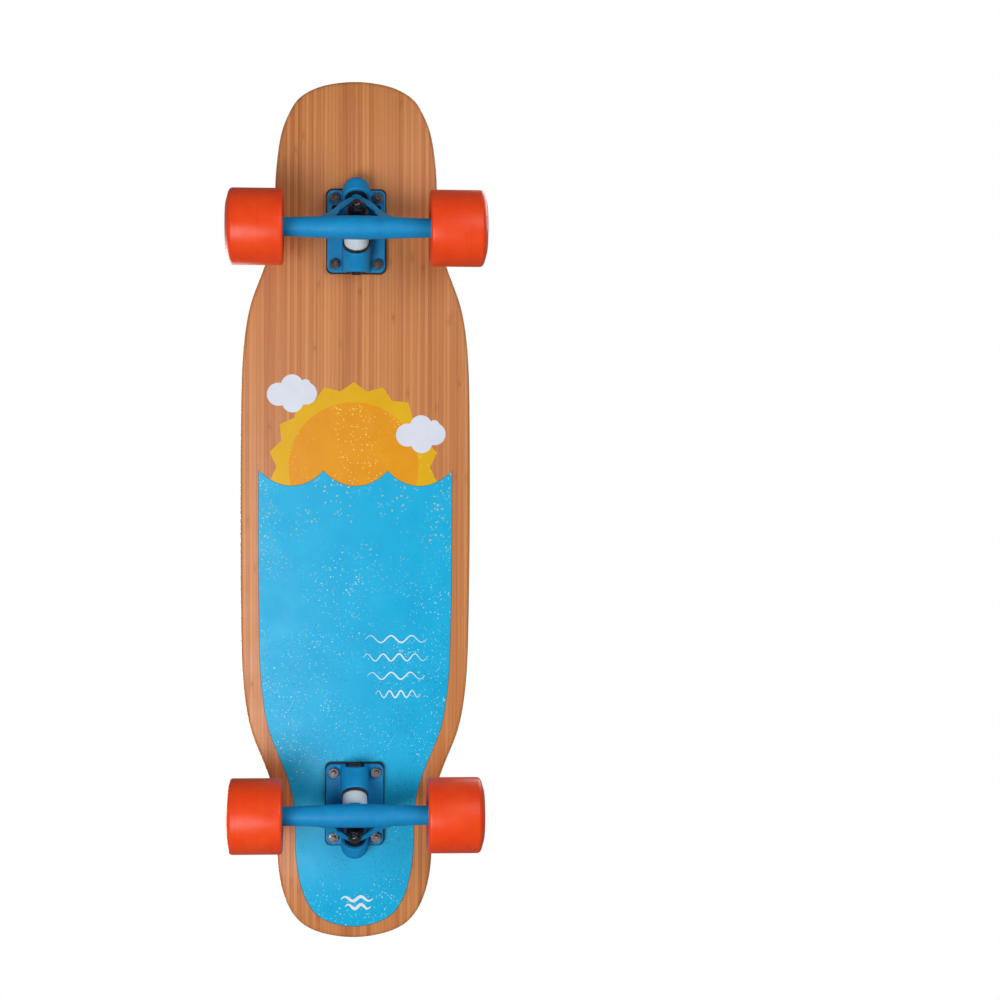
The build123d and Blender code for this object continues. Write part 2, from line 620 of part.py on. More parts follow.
def cage():
    """Ring that keeps one bearing's balls apart."""
    middle = (RACE_INNER + RACE_OUTER) / 2
    band = tube(middle + CAGE_WALL, middle - CAGE_WALL, CAGE_HEIGHT)
    ring = Pos(0, 0, (BEARING_WIDTH - CAGE_HEIGHT) / 2) * band
    pocket = Rot(0, 90, 0) * Cylinder(BALL_RADIUS + RUNNING, BALL_RADIUS * 2)
    return ring - [place * pocket for place in ball_places()]


def tyre():
    """Urethane tyre about Z, its inner lip on the XY plane."""
    w, r = WHEEL_WIDTH, WHEEL_RADIUS
    core_low = BEARING_START - WHEEL_INNER_LIP - 1.0
    core_high = BEARING_STOP - WHEEL_INNER_LIP + 1.0
    rim = WHEEL_WIDTH - WHEEL_DISH
    outline = Polyline(
        [
            (CORE_RADIUS + SEATED, 0, core_low),
            (CORE_RADIUS + SEATED, 0, core_high),
            (CORE_RADIUS - 2.5, 0, core_high + 1.5),
            (CORE_RADIUS - 0.5, 0, w - 1.5),
            (CORE_RADIUS + 2.0, 0, w),
            (r - 5.0, 0, rim + 0.8),
            (r, 0, rim - 3.6),
            (r, 0, 3.0),
            (r - 3.0, 0, 0),
            (r - 7.0, 0, 0),
            (CORE_RADIUS + 2.5, 0, 3.0),
            (CORE_RADIUS - 2.5, 0, core_low - 1.0),
        ],
        close=True,
    )
    face = make_face(outline)
    corners = [v for v in face.vertices() if v.X > r - 6 and v.Z < rim + 2]
    return revolve(fillet(corners, 1.4), Axis.Z)


def core():
    """Hub core with a pocket for each bearing and a web between them."""
    low = BEARING_START - WHEEL_INNER_LIP
    high = BEARING_STOP - WHEEL_INNER_LIP
    pocket = BEARING_RADIUS + SEATED
    web = BEARING_RADIUS - 1.8
    return turned(
        [
            (pocket, low - 1.0), (CORE_RADIUS - 3.0, low - 1.0), (CORE_RADIUS, low + 0.5),
            (CORE_RADIUS, high - 0.5), (CORE_RADIUS - 3.0, high + 1.0), (pocket, high + 1.0),
            (pocket, high - BEARING_WIDTH), (web, high - BEARING_WIDTH),
            (web, low + BEARING_WIDTH), (pocket, low + BEARING_WIDTH),
        ]
    )


def wheel_nodes(name, location):
    """Write every piece that turns with one wheel."""
    node(f"{name}_tyre", location * Pos(0, 0, WHEEL_INNER_LIP) * tyre())
    node(f"{name}_core", location * Pos(0, 0, WHEEL_INNER_LIP) * core())
    races, balls, cages, shields = [], [], [], []
    for z in (BEARING_START, BEARING_START + BEARING_PITCH):
        bearing = location * Pos(0, 0, z)
        races.append(bearing * race(RACE_OUTER, BEARING_RADIUS))
        balls += [bearing * place * Sphere(BALL_RADIUS) for place in ball_places()]
        cages.append(bearing * cage())
        shield = tube(RACE_OUTER - SEATED, RACE_INNER + SHIELD_GAP, SHIELD_THICKNESS)
        far = BEARING_WIDTH - SHIELD_INSET - SHIELD_THICKNESS
        shields += [bearing * Pos(0, 0, h) * shield for h in (SHIELD_INSET, far)]
    for part, shapes in (
        ("outer_races", races), ("balls", balls), ("cages", cages), ("shields", shields),
    ):
        node(f"{name}_{part}", [s for shape in shapes for s in shape.solids()])


def fastener_nodes():
    """Write the mounting bolts and their nuts."""
    bolt = turned(bolt_profile(0))
    bolt -= Pos(0, 0, -BOLT_SOCKET_DEPTH) * hex_prism(BOLT_SOCKET_FLATS, BOLT_SOCKET_DEPTH + 1)
    nut = lock_nut(MOUNT_NUT_FLATS, MOUNT_NUT_HEIGHT, BOLT_RADIUS + SEATED)
    bolts, nuts = [], []
    for x, y in all_bolt_places():
        bolts.append(Pos(x, y, HEAD_TOP_Z) * bolt)
        nuts.append(Pos(x, y, MOUNT_Z - BASE_THICKNESS + NUT_POCKET_DEPTH) * Rot(180, 0, 0) * nut)
    node("mounting_bolts", [s for shape in bolts for s in shape.solids()])
    node("mounting_nuts", [s for shape in nuts for s in shape.solids()])


def main():
    """Write every sub-part."""
    os.makedirs("parts", exist_ok=True)
    deck_parts()
    for end, x, turn in (("front", FRONT_X, 0), ("rear", REAR_X, 180)):
        truck_nodes(end, Pos(x, 0, MOUNT_Z) * Rot(0, 0, turn))
        for hand, side in (("left", 0), ("right", 180)):
            place = Pos(x, 0, WHEEL_RADIUS) * Rot(0, 0, side) * Rot(-90, 0, 0)
            wheel_nodes(f"{end}_{hand}", place)
    fastener_nodes()
    print("ring centre", RING_CENTRE, "pivot", PIVOT_CENTRE, "steer axis", STEER_AXIS)
    print("front x", FRONT_X, "rear x", REAR_X, "mount z", MOUNT_Z)


main()
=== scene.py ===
"""A mini longboard seen from below: bamboo deck with a printed underside, blue trucks and orange wheels."""

import logging
import math
from dataclasses import dataclass, field
from enum import Enum

import bmesh
import bpy
import numpy as np
from mathutils import Matrix, Vector


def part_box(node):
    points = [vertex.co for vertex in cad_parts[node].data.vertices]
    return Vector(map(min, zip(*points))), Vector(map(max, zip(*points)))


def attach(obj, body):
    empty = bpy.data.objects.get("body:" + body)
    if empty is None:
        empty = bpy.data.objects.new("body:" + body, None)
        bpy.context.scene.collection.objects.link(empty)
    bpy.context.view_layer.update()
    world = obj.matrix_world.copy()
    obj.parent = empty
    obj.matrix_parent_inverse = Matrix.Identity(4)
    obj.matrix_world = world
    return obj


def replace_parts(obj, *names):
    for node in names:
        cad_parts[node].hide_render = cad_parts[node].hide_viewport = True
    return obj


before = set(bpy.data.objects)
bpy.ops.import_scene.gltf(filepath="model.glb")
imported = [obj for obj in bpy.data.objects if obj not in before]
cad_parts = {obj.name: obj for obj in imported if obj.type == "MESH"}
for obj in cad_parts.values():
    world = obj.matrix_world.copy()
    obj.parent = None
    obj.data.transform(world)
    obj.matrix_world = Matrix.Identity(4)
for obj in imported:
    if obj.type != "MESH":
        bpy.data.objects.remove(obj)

log = logging.getLogger("longboard")
MM = 0.001
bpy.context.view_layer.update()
DECK = "deck"
GRIP_THICKNESS = 0.8 * MM
MERGE = 2e-6
NEAR_PLANE = 1e-7

Point = tuple[float, float]
Socket = bpy.types.NodeSocket


class Side(Enum):
    """Faces of the deck that something can be laid on."""

    UNDER = -1
    TOP = 1


# ------------------------------------------------------------------ node trees
@dataclass
class Mixture:
    """A node tree with short ways of adding what a finish needs."""

    tree: bpy.types.NodeTree
    shader: bpy.types.Node | None = None

    def add(self, kind: str, **settings: object) -> bpy.types.Node:
        """Add a node and set its properties.

        Args:
            kind: node type without its ShaderNode prefix.
            settings: properties of the node.

        Returns:
            The new node.
        """
        node = self.tree.nodes.new("ShaderNode" + kind)
        for name, value in settings.items():
            setattr(node, name, value)
        return node

    def feed(self, socket: Socket, value: object) -> None:
        """Link a socket into another, or set its plain value.

        Args:
            socket: input to feed.
            value: output socket, number, colour or vector.
        """
        if isinstance(value, bpy.types.NodeSocket):
            self.tree.links.new(value, socket)
        else:
            socket.default_value = value

    def dress(self, colour: Socket, rough: Socket, normal: Socket, **plain: object) -> None:
        """Feed the shader what varies, and set what is the same all over.

        Args:
            colour: base colour.
            rough: roughness.
            normal: shading normal.
            plain: values of other sockets, with underscores for spaces.
        """
        for name, value in (("Base Color", colour), ("Roughness", rough), ("Normal", normal)):
            self.feed(self.shader.inputs[name], value)
        for name, value in plain.items():
            self.shader.inputs[name.replace("_", " ")].default_value = value

    def place(self) -> Socket:
        """Position on the piece, in metres."""
        return self.add("TexCoord").outputs["Object"]

    def laid(self) -> Socket:
        """Position on the deck as it lay flat: along, across and above its underside."""
        return self.add("Attribute", attribute_name="lay").outputs["Vector"]

    def stretched(self, vector: Socket, scale: tuple, turn: float) -> Socket:
        """Scale a position by each axis, and turn it about the upright one.

        Args:
            vector: position.
            scale: factor for each axis.
            turn: rotation in radians.

        Returns:
            The mapped position.
        """
        node = self.add("Mapping")
        self.feed(node.inputs["Vector"], vector)
        node.inputs["Scale"].default_value = scale
        node.inputs["Rotation"].default_value = (0, 0, turn)
        return node.outputs["Vector"]

    def noise(
        self, vector: Socket, scale: object, detail: float = 3.0, rough: float = 0.5, output: str = "Fac"
    ) -> Socket:
        """Fractal noise from 0 to 1.

        Args:
            vector: position.
            scale: cells in a metre.
            detail: octaves.
            rough: strength of the finer octaves.
            output: output socket's name.

        Returns:
            The chosen output.
        """
        node = self.add("TexNoise")
        for name, value in (("Vector", vector), ("Scale", scale), ("Detail", detail), ("Roughness", rough)):
            self.feed(node.inputs[name], value)
        return node.outputs[output]

    def cells(self, vector: Socket, scale: object, feature: str = "F1", output: str = "Distance") -> Socket:
        """Voronoi cells.

        Args:
            vector: position.
            scale: cells in a metre.
            feature: which distance is measured.
            output: output socket's name.

        Returns:
            The chosen output.
        """
        node = self.add("TexVoronoi", feature=feature)
        self.feed(node.inputs["Vector"], vector)
        self.feed(node.inputs["Scale"], scale)
        return node.outputs[output]

    def chance(self, value: Socket) -> Socket:
        """A number from 0 to 1 that is always the same for the same value."""
        node = self.add("TexWhiteNoise", noise_dimensions="1D")
        self.feed(node.inputs["W"], value)
        return node.outputs["Value"]

    def sum(self, how: str, *values: object) -> Socket:
        """Arithmetic on one, two or three values.

        Args:
            how: operation of the Math node.
            values: what it works on, in order.

        Returns:
            The result.
        """
        node = self.add("Math", operation=how)
        for socket, value in zip(node.inputs, values):
            self.feed(socket, value)
        return node.outputs[0]

    def times(self, first: object, *others: object) -> Socket:
        """Product of values."""
        for other in others:
            first = self.sum("MULTIPLY", first, other)
        return first

    def plus(self, first: object, *others: object) -> Socket:
        """Total of values."""
        for other in others:
            first = self.sum("ADD", first, other)
        return first

    def less(self, first: object, second: object) -> Socket:
        """Difference of two values."""
        return self.sum("SUBTRACT", first, second)

    def reach(self, x: Socket, y: Socket) -> Socket:
        """Distance of (x, y) from nought."""
        return self.sum("SQRT", self.plus(self.times(x, x), self.times(y, y)))

    def off_middle(self, share: Socket) -> Socket:
        """How far a share lies from a half."""
        return self.sum("ABSOLUTE", self.less(share, 0.5))

    def spread(self, value: Socket, low: float, high: float, start: object, end: object) -> Socket:
        """Spread one range over another, held at its ends.

        Args:
            value: value to spread.
            low: value that gives start.
            high: value that gives end.
            start: result at low.
            end: result at high.

        Returns:
            The spread value.
        """
        node = self.add("MapRange")
        for socket, number in zip(node.inputs, (value, low, high, start, end)):
            self.feed(socket, number)
        return node.outputs["Result"]

    def blend(self, share: object, first: object, second: object) -> Socket:
        """Blend two colours.

        Args:
            share: how much of the second, from 0 to 1.
            first: colour under.
            second: colour over.

        Returns:
            The blended colour.
        """
        node = self.add("Mix", data_type="RGBA")
        for number, value in ((0, share), (6, first), (7, second)):
            self.feed(node.inputs[number], value)
        return node.outputs[2]

    def tones(self, value: Socket, *stops: tuple) -> Socket:
        """Colour ramp.

        Args:
            value: place on the ramp.
            stops: (place, colour) from low to high.

        Returns:
            The colour.
        """
        node = self.add("ValToRGB")
        ramp = node.color_ramp
        while len(ramp.elements) < len(stops):
            ramp.elements.new(0.5)
        for element, (place, colour) in zip(ramp.elements, stops):
            element.position = place
            element.color = colour
        self.feed(node.inputs["Fac"], value)
        return node.outputs["Color"]

    def parts(self, vector: Socket) -> list:
        """Split a position into its three numbers."""
        node = self.add("SeparateXYZ")
        self.feed(node.inputs[0], vector)
        return list(node.outputs)

    def join(self, *numbers: object) -> Socket:
        """Join three numbers into a position."""
        node = self.add("CombineXYZ")
        for socket, value in zip(node.inputs, numbers):
            self.feed(socket, value)
        return node.outputs[0]

    def bump(self, height: Socket, depth: float, strength: float, under: Socket | None = None) -> Socket:
        """Relief from a height that varies between 0 and 1.

        Args:
            height: height at each spot.
            depth: metres between 0 and 1.
            strength: share of the relief that shows.
            under: relief that this one lies on.

        Returns:
            The shading normal.
        """
        node = self.add("Bump")
        node.inputs["Distance"].default_value = depth
        node.inputs["Strength"].default_value = strength
        self.feed(node.inputs["Height"], height)
        if under is not None:
            self.feed(node.inputs["Normal"], under)
        return node.outputs["Normal"]

    def effect(self, group: bpy.types.NodeTree, **values: object) -> list:
        """Place a shared effect.

        Args:
            group: the effect's node group.
            values: its named inputs.

        Returns:
            Its outputs, in order.
        """
        node = self.add("Group", node_tree=group)
        for name, value in values.items():
            self.feed(node.inputs[name], value)
        return list(node.outputs)


def rgb(*values: float) -> tuple:
    """Linear colour with full alpha from sRGB values out of 255."""
    shares = [value / 255 for value in values]
    return (*(s / 12.92 if s <= 0.04045 else ((s + 0.055) / 1.055) ** 2.4 for s in shares), 1.0)


def effect_group(name: str, given: dict, made: tuple) -> tuple:
    """Start a node group for an effect that several finishes share.

    Args:
        name: the group's name.
        given: default of each input by name, or None for a position.
        made: names of the outputs, all plain values.

    Returns:
        The group, its mixture, its inputs by name and its outputs by name.
    """
    group = bpy.data.node_groups.new(name, "ShaderNodeTree")
    for label, default in given.items():
        kind = "NodeSocketVector" if default is None else "NodeSocketFloat"
        socket = group.interface.new_socket(label, in_out="INPUT", socket_type=kind)
        if default is not None:
            socket.default_value = default
    for label in made:
        group.interface.new_socket(label, in_out="OUTPUT", socket_type="NodeSocketFloat")
    start, end = group.nodes.new("NodeGroupInput"), group.nodes.new("NodeGroupOutput")
    return group, Mixture(group), start.outputs, end.inputs


@dataclass
class SharedEffects:
    """Effects that more than one finish uses."""

    grain: bpy.types.NodeTree = field(init=False)
    wear_and_highlight: bpy.types.NodeTree = field(init=False)
    flecks: bpy.types.NodeTree = field(init=False)

    def __post_init__(self) -> None:
        """Build each group once."""
        self.grain = self.surface_grain()
        # edge mask for worn steel edges and for the casting's painted edge highlight
        self.wear_and_highlight = self.edge_wear_and_highlight()
        self.flecks = self.print_flecks()

    def surface_grain(self) -> bpy.types.NodeTree:
        """Fine tooth with broad handling marks: a height and a roughness that vary."""
        defaults = {"Place": None, "Scale": 900.0, "Smooth": 0.35, "Coarse": 0.5}
        group, mix, given, made = effect_group("surface grain", defaults, ("Height", "Roughness"))
        broad = mix.noise(given["Place"], 38.0, 4.0, 0.6)
        mix.feed(made["Height"], mix.noise(given["Place"], given["Scale"], 3.0, 0.6))
        mix.feed(made["Roughness"], mix.spread(broad, 0.3, 0.7, given["Smooth"], given["Coarse"]))
        return group

    def edge_wear_and_highlight(self) -> bpy.types.NodeTree:
        """Mask of the sharp outer edges, broken up by noise: worn bright edges on the steel, a painted highlight on
        the casting.
        """
        group, mix, given, made = effect_group("edge rubbing and highlight", {"Place": None, "Amount": 0.5}, ("Mask",))
        sharp = mix.spread(mix.add("NewGeometry").outputs["Pointiness"], 0.52, 0.62, 0.0, 1.0)
        broken = mix.spread(mix.noise(given["Place"], 420.0, 4.0, 0.7), 0.4, 0.62, 0.0, 1.0)
        mix.feed(made["Mask"], mix.times(sharp, broken, given["Amount"]))
        return group

    def print_flecks(self) -> bpy.types.NodeTree:
        """Mask of small irregular flecks where a print is thin."""
        defaults = {"Place": None, "Scale": 260.0, "Size": 0.2, "Patches": 22.0}
        group, mix, given, made = effect_group("print flecks", defaults, ("Mask",))
        bent = mix.add("VectorMath", operation="MULTIPLY_ADD")
        mix.feed(bent.inputs[0], mix.noise(given["Place"], 400.0, 2.0, 0.5, "Color"))
        bent.inputs[1].default_value = (0.004, 0.004, 0.004)
        mix.feed(bent.inputs[2], given["Place"])
        near = mix.sum("LESS_THAN", mix.cells(bent.outputs[0], given["Scale"]), given["Size"])
        chosen = mix.parts(mix.cells(bent.outputs[0], given["Scale"], output="Color"))[0]
        patch = mix.spread(mix.noise(given["Place"], given["Patches"], 2.0), 0.42, 0.58, 0.0, 1.0)
        mix.feed(made["Mask"], mix.times(near, mix.sum("GREATER_THAN", chosen, 0.6), patch))
        return group


EFFECTS = SharedEffects()
MADE: dict[str, bpy.types.Material] = {}


# ------------------------------------------------------------------ finishes
@dataclass(frozen=True)
class Finish:
    """A material by name. Each kind of finish lays out its own nodes."""

    name: str

    def material(self) -> bpy.types.Material:
        """Build the material once, and hand out the same one after that."""
        if self.name not in MADE:
            material = MADE[self.name] = bpy.data.materials.new(self.name)
            material.use_nodes = True
            tree = material.node_tree
            self.mix(Mixture(tree, tree.nodes["Principled BSDF"]))
        return MADE[self.name]

    def mix(self, mix: Mixture) -> None:
        """Lay out the finish's nodes."""
        raise NotImplementedError


@dataclass(frozen=True)
class Bamboo(Finish):
    """Vertical strips of caramel bamboo, lying along the board, under a satin lacquer."""

    strip: float = 3.6 * MM
    light: tuple = rgb(221, 150, 92)
    middle: tuple = rgb(204, 130, 75)
    dark: tuple = rgb(178, 104, 55)

    def mix(self, mix: Mixture) -> None:
        """Strips, fibres, joints and lacquer."""
        x, y, _ = mix.parts(mix.place())
        wavering = mix.noise(mix.join(mix.times(x, 1.2), mix.times(y, 6.0), 0.0), 1.6, 2.0)
        across = mix.sum("MULTIPLY_ADD", wavering, 1.1, mix.sum("DIVIDE", y, self.strip))
        lane, within = mix.sum("FLOOR", across), mix.sum("FRACT", across)
        tint = mix.chance(lane)
        offset = mix.times(tint, 7.0)
        fibre_place = mix.join(mix.plus(mix.times(x, 5.0), offset), mix.times(y, 900.0), lane)
        fibres = mix.noise(fibre_place, 1.0, 5.0, 0.65)
        streak_place = mix.join(mix.plus(mix.times(x, 1.6), offset), mix.times(y, 210.0), lane)
        streaks = mix.noise(streak_place, 1.0, 3.0, 0.6)
        tone = mix.plus(mix.times(tint, 0.3), mix.times(fibres, 0.7), mix.times(streaks, 0.5))
        wood = mix.tones(
            mix.spread(tone, 0.45, 1.05, 0.0, 1.0), (0.0, self.dark), (0.45, self.middle), (1.0, self.light)
        )
        glue = mix.spread(mix.off_middle(within), 0.4, 0.5, 0.0, 0.5)
        wood = mix.blend(glue, wood, rgb(138, 82, 48))
        wood = mix.blend(self.cane_nodes(mix, x, lane, within), wood, rgb(140, 78, 44))
        relief = mix.less(fibres, mix.times(glue, 0.8))
        _, rough = mix.effect(EFFECTS.grain, Place=mix.place(), Scale=700.0, Smooth=0.34, Coarse=0.47)
        mix.dress(
            wood, rough, mix.bump(relief, 0.03 * MM, 0.6),
            Specular_IOR_Level=0.3, Coat_Weight=0.12, Coat_Roughness=0.3,
        )

    @staticmethod
    def cane_nodes(mix: Mixture, x: Socket, lane: Socket, within: Socket) -> Socket:
        """Dark, feathered marks where the cane had its nodes, scattered from strip to strip.

        Args:
            mix: the material's tree.
            x: place along the board.
            lane: number of the strip.
            within: place across the strip.

        Returns:
            How strongly the mark shows.
        """
        shift = mix.times(mix.chance(mix.plus(lane, 37.5)), 9.0)
        near = mix.off_middle(mix.sum("FRACT", mix.plus(mix.sum("DIVIDE", x, 0.62), shift)))
        ragged = mix.noise(mix.join(mix.times(x, 160.0), mix.times(within, 5.0), lane), 1.0, 3.0)
        core = mix.spread(near, 0.002, 0.013, 1.0, 0.0)
        return mix.times(core, mix.spread(ragged, 0.4, 0.62, 0.0, 1.0), 0.5)


@dataclass(frozen=True)
class RailPlies(Finish):
    """Sanded edge of the laminate: lighter and darker plies, with glue lines."""

    ply: float = 1.55 * MM

    def mix(self, mix: Mixture) -> None:
        """Ply bands by height above the underside."""
        x, y, above = mix.parts(mix.laid())
        number = mix.sum("DIVIDE", above, self.ply)
        tint = mix.chance(mix.sum("FLOOR", number))
        fibres = mix.noise(
            mix.join(mix.times(x, 60.0), mix.times(y, 60.0), mix.times(above, 4200.0)), 1.0, 4.0, 0.6
        )
        tone = mix.plus(mix.times(tint, 0.6), mix.times(fibres, 0.5))
        wood = mix.tones(
            mix.spread(tone, 0.1, 0.95, 0.0, 1.0),
            (0.0, rgb(168, 112, 72)), (0.5, rgb(205, 148, 100)), (1.0, rgb(226, 178, 132)),
        )
        glue = mix.spread(mix.off_middle(mix.sum("FRACT", number)), 0.44, 0.5, 0.0, 0.6)
        _, rough = mix.effect(EFFECTS.grain, Place=mix.place(), Scale=800.0, Smooth=0.36, Coarse=0.5)
        mix.dress(
            mix.blend(glue, wood, rgb(104, 66, 42)), rough, mix.bump(fibres, 0.03 * MM, 0.6), Coat_Weight=0.3
        )


@dataclass(frozen=True)
class Ink(Finish):
    """Screen-printed ink with specks of a second colour where it is thin."""

    colour: tuple = rgb(20, 182, 230)
    deep: tuple = rgb(10, 174, 224)
    speck: tuple = rgb(205, 236, 246)
    size: float = 0.22
    scale: float = 420.0
    patches: float = 16.0
    share: float = 0.85

    def mix(self, mix: Mixture) -> None:
        """Cloudy ink, flecks and a satin surface."""
        place = mix.place()
        cloudy = mix.spread(mix.noise(place, 30.0, 4.0, 0.6), 0.35, 0.7, 0.0, 1.0)
        ink = mix.blend(cloudy, self.colour, self.deep)
        thin = mix.effect(EFFECTS.flecks, Place=place, Scale=self.scale, Size=self.size, Patches=self.patches)[0]
        ink = self.extra(mix, place, mix.blend(mix.times(thin, self.share), ink, self.speck))
        tooth, rough = mix.effect(EFFECTS.grain, Place=place, Scale=1100.0, Smooth=0.3, Coarse=0.46)
        mix.dress(ink, rough, mix.bump(tooth, 0.012 * MM, 0.5), Specular_IOR_Level=0.22)

    def extra(self, mix: Mixture, place: Socket, ink: Socket) -> Socket:
        """What one print adds over the plain ink. Plain inks add nothing."""
        return ink


@dataclass(frozen=True)
class SeaInk(Ink):
    """Blue of the sea: yellow flecks under the sun, pale ones along the board and dark scuffs near the tail."""

    sun_side: float = 0.03
    scuff_side: float = -0.06

    def extra(self, mix: Mixture, place: Socket, ink: Socket) -> Socket:
        """Yellow near the waves, dark further down.

        Args:
            mix: the material's tree.
            place: position on the piece.
            ink: colour so far.

        Returns:
            The colour with both kinds of fleck.
        """
        x = mix.parts(place)[0]
        spots = mix.stretched(place, (1.0, 1.0, 1.0), 0.7)
        gold = mix.effect(EFFECTS.flecks, Place=spots, Scale=330.0, Size=0.26, Patches=26.0)[0]
        near_sun = mix.spread(x, self.sun_side - 0.12, self.sun_side - 0.02, 0.0, 1.0)
        ink = mix.blend(mix.times(gold, near_sun), ink, rgb(232, 196, 60))
        scuffs = mix.stretched(place, (0.8, 1.5, 1.0), -0.5)
        worn = mix.effect(EFFECTS.flecks, Place=scuffs, Scale=620.0, Size=0.3, Patches=20.0)[0]
        low = mix.spread(x, self.scuff_side, self.scuff_side - 0.07, 0.0, 0.8)
        return mix.blend(mix.times(worn, low), ink, rgb(22, 108, 142))


@dataclass(frozen=True)
class GripSheet(Finish):
    """Blue grip sheet: grit with near-white flecks painted on as glints, darker grains, and a scuffed spot by the
    badge.
    """

    scuff: Point = (0.030, -0.036)
    scuff_size: Point = (0.012, 0.019)

    def mix(self, mix: Mixture) -> None:
        """Grit colour, painted glints and tooth."""
        place = mix.place()
        shade = mix.parts(mix.cells(place, 1500.0, output="Color"))[0]
        grit = mix.tones(
            shade, (0.0, rgb(16, 128, 182)), (0.3, rgb(28, 162, 214)), (0.75, rgb(44, 184, 230)),
            (1.0, rgb(120, 214, 244)),
        )
        broad = mix.noise(place, 20.0, 5.0, 0.7)
        grit = mix.blend(mix.spread(broad, 0.5, 0.7, 0.0, 0.35), grit, rgb(20, 140, 192))
        # painted glints: near-white flecks scattered over the grit
        painted_glints = mix.effect(EFFECTS.flecks, Place=place, Scale=900.0, Size=0.3, Patches=60.0)[0]
        grit = mix.blend(mix.times(painted_glints, 0.75), grit, rgb(206, 240, 252))
        worn = mix.stretched(place, (1.3, 0.8, 1.0), 0.9)
        dull = mix.effect(EFFECTS.flecks, Place=worn, Scale=700.0, Size=0.3, Patches=14.0)[0]
        grit = mix.blend(mix.times(dull, 0.55), grit, rgb(18, 96, 136))
        spot = [
            mix.sum("DIVIDE", mix.less(value, middle), size)
            for value, middle, size in zip(mix.parts(place), self.scuff, self.scuff_size)
        ]
        rubbed = mix.spread(mix.reach(*spot), 0.6, 1.05, 0.85, 0.0)
        rubbed = mix.times(rubbed, mix.spread(shade, 0.2, 0.5, 0.4, 1.0))
        mix.dress(
            mix.blend(rubbed, grit, rgb(92, 110, 118)), mix.spread(shade, 0.0, 1.0, 0.95, 0.55),
            mix.bump(mix.cells(place, 1500.0, "SMOOTH_F1"), 0.25 * MM, 0.7),
        )


@dataclass(frozen=True)
class CastPaint(Finish):
    """Matt blue powder coat over a sand casting, with a painted highlight of paler blue on its sharp edges."""

    colour: tuple = rgb(8, 146, 208)
    deep: tuple = rgb(6, 132, 192)
    # paler blue of the painted edge highlight
    edge_highlight: tuple = rgb(110, 190, 230)

    def mix(self, mix: Mixture) -> None:
        """Powder texture, broad tone and a painted highlight of paler blue along the sharp edges."""
        place = mix.place()
        tooth, rough = mix.effect(EFFECTS.grain, Place=place, Scale=1500.0, Smooth=0.42, Coarse=0.58)
        broad = mix.spread(mix.noise(place, 55.0, 4.0, 0.6), 0.35, 0.7, 0.0, 1.0)
        # painted highlight: paler blue laid on the sharp edges, broken up by noise
        wear_and_highlight = mix.effect(EFFECTS.wear_and_highlight, Place=place, Amount=0.35)[0]
        paint = mix.blend(wear_and_highlight, mix.blend(broad, self.colour, self.deep), self.edge_highlight)
        sand = mix.bump(mix.noise(place, 480.0, 4.0, 0.6), 0.09 * MM, 0.6)
        mix.dress(paint, rough, mix.bump(tooth, 0.03 * MM, 0.7, sand), Specular_IOR_Level=0.28)


@dataclass(frozen=True)
class Urethane(Finish):
    """Cast orange urethane: slightly clear, satin, with turning marks round the wheel."""

    axle_x: float
    axle_z: float
    colour: tuple = rgb(238, 62, 14)
    light: tuple = rgb(248, 80, 24)

    def mix(self, mix: Mixture) -> None:
        """Turned rings, mottle and a soft inner glow."""
        place = mix.place()
        x, y, z = mix.parts(place)
        radius = mix.reach(mix.less(x, self.axle_x), mix.less(z, self.axle_z))
        rings = mix.noise(mix.join(mix.times(radius, 1400.0), mix.times(y, 1400.0), 0.0), 1.0, 3.0, 0.6)
        tone = mix.plus(mix.times(rings, 0.5), mix.times(mix.noise(place, 45.0, 4.0, 0.6), 0.5))
        colour = mix.blend(mix.spread(tone, 0.35, 0.65, 0.0, 1.0), self.colour, self.light)
        _, rough = mix.effect(EFFECTS.grain, Place=place, Scale=650.0, Smooth=0.3, Coarse=0.44)
        mix.dress(
            colour, rough, mix.bump(rings, 0.02 * MM, 0.5), Specular_IOR_Level=0.3,
            Subsurface_Weight=0.1, Subsurface_Radius=(0.006, 0.002, 0.001), Subsurface_Scale=0.6,
        )


@dataclass(frozen=True)
class Metal(Finish):
    """Bare or blackened steel with a brushed, slightly stained surface."""

    colour: tuple = rgb(176, 178, 182)
    stain: tuple = rgb(126, 126, 128)
    worn: tuple = rgb(210, 212, 214)
    smooth: float = 0.22
    coarse: float = 0.42

    def mix(self, mix: Mixture) -> None:
        """Stain, brushing and bright edges."""
        place = mix.place()
        stain = mix.spread(mix.noise(place, 190.0, 5.0, 0.65), 0.4, 0.7, 0.0, 1.0)
        wear_and_highlight = mix.effect(EFFECTS.wear_and_highlight, Place=place, Amount=0.7)[0]
        base = mix.blend(wear_and_highlight, mix.blend(stain, self.colour, self.stain), self.worn)
        brushed = mix.stretched(place, (1.0, 4.0, 1.0), 0.0)
        tooth, rough = mix.effect(
            EFFECTS.grain, Place=brushed, Scale=900.0, Smooth=self.smooth, Coarse=self.coarse
        )
        mix.dress(base, rough, mix.bump(tooth, 0.015 * MM, 0.6), Metallic=1.0)


@dataclass(frozen=True)
class Moulding(Finish):
    """Moulded plastic or rubber with a fine spark-eroded texture."""

    colour: tuple
    second: tuple
    smooth: float
    coarse: float
    clear: float = 0.0

    def mix(self, mix: Mixture) -> None:
        """Mottled colour and texture."""
        place = mix.place()
        mottle = mix.spread(mix.noise(place, 120.0, 5.0, 0.6), 0.35, 0.7, 0.0, 1.0)
        tooth, rough = mix.effect(
            EFFECTS.grain, Place=place, Scale=2200.0, Smooth=self.smooth, Coarse=self.coarse
        )
        mix.dress(
            mix.blend(mottle, self.colour, self.second), rough, mix.bump(tooth, 0.04 * MM, 0.6),
            Subsurface_Weight=self.clear, Subsurface_Scale=0.002,
        )


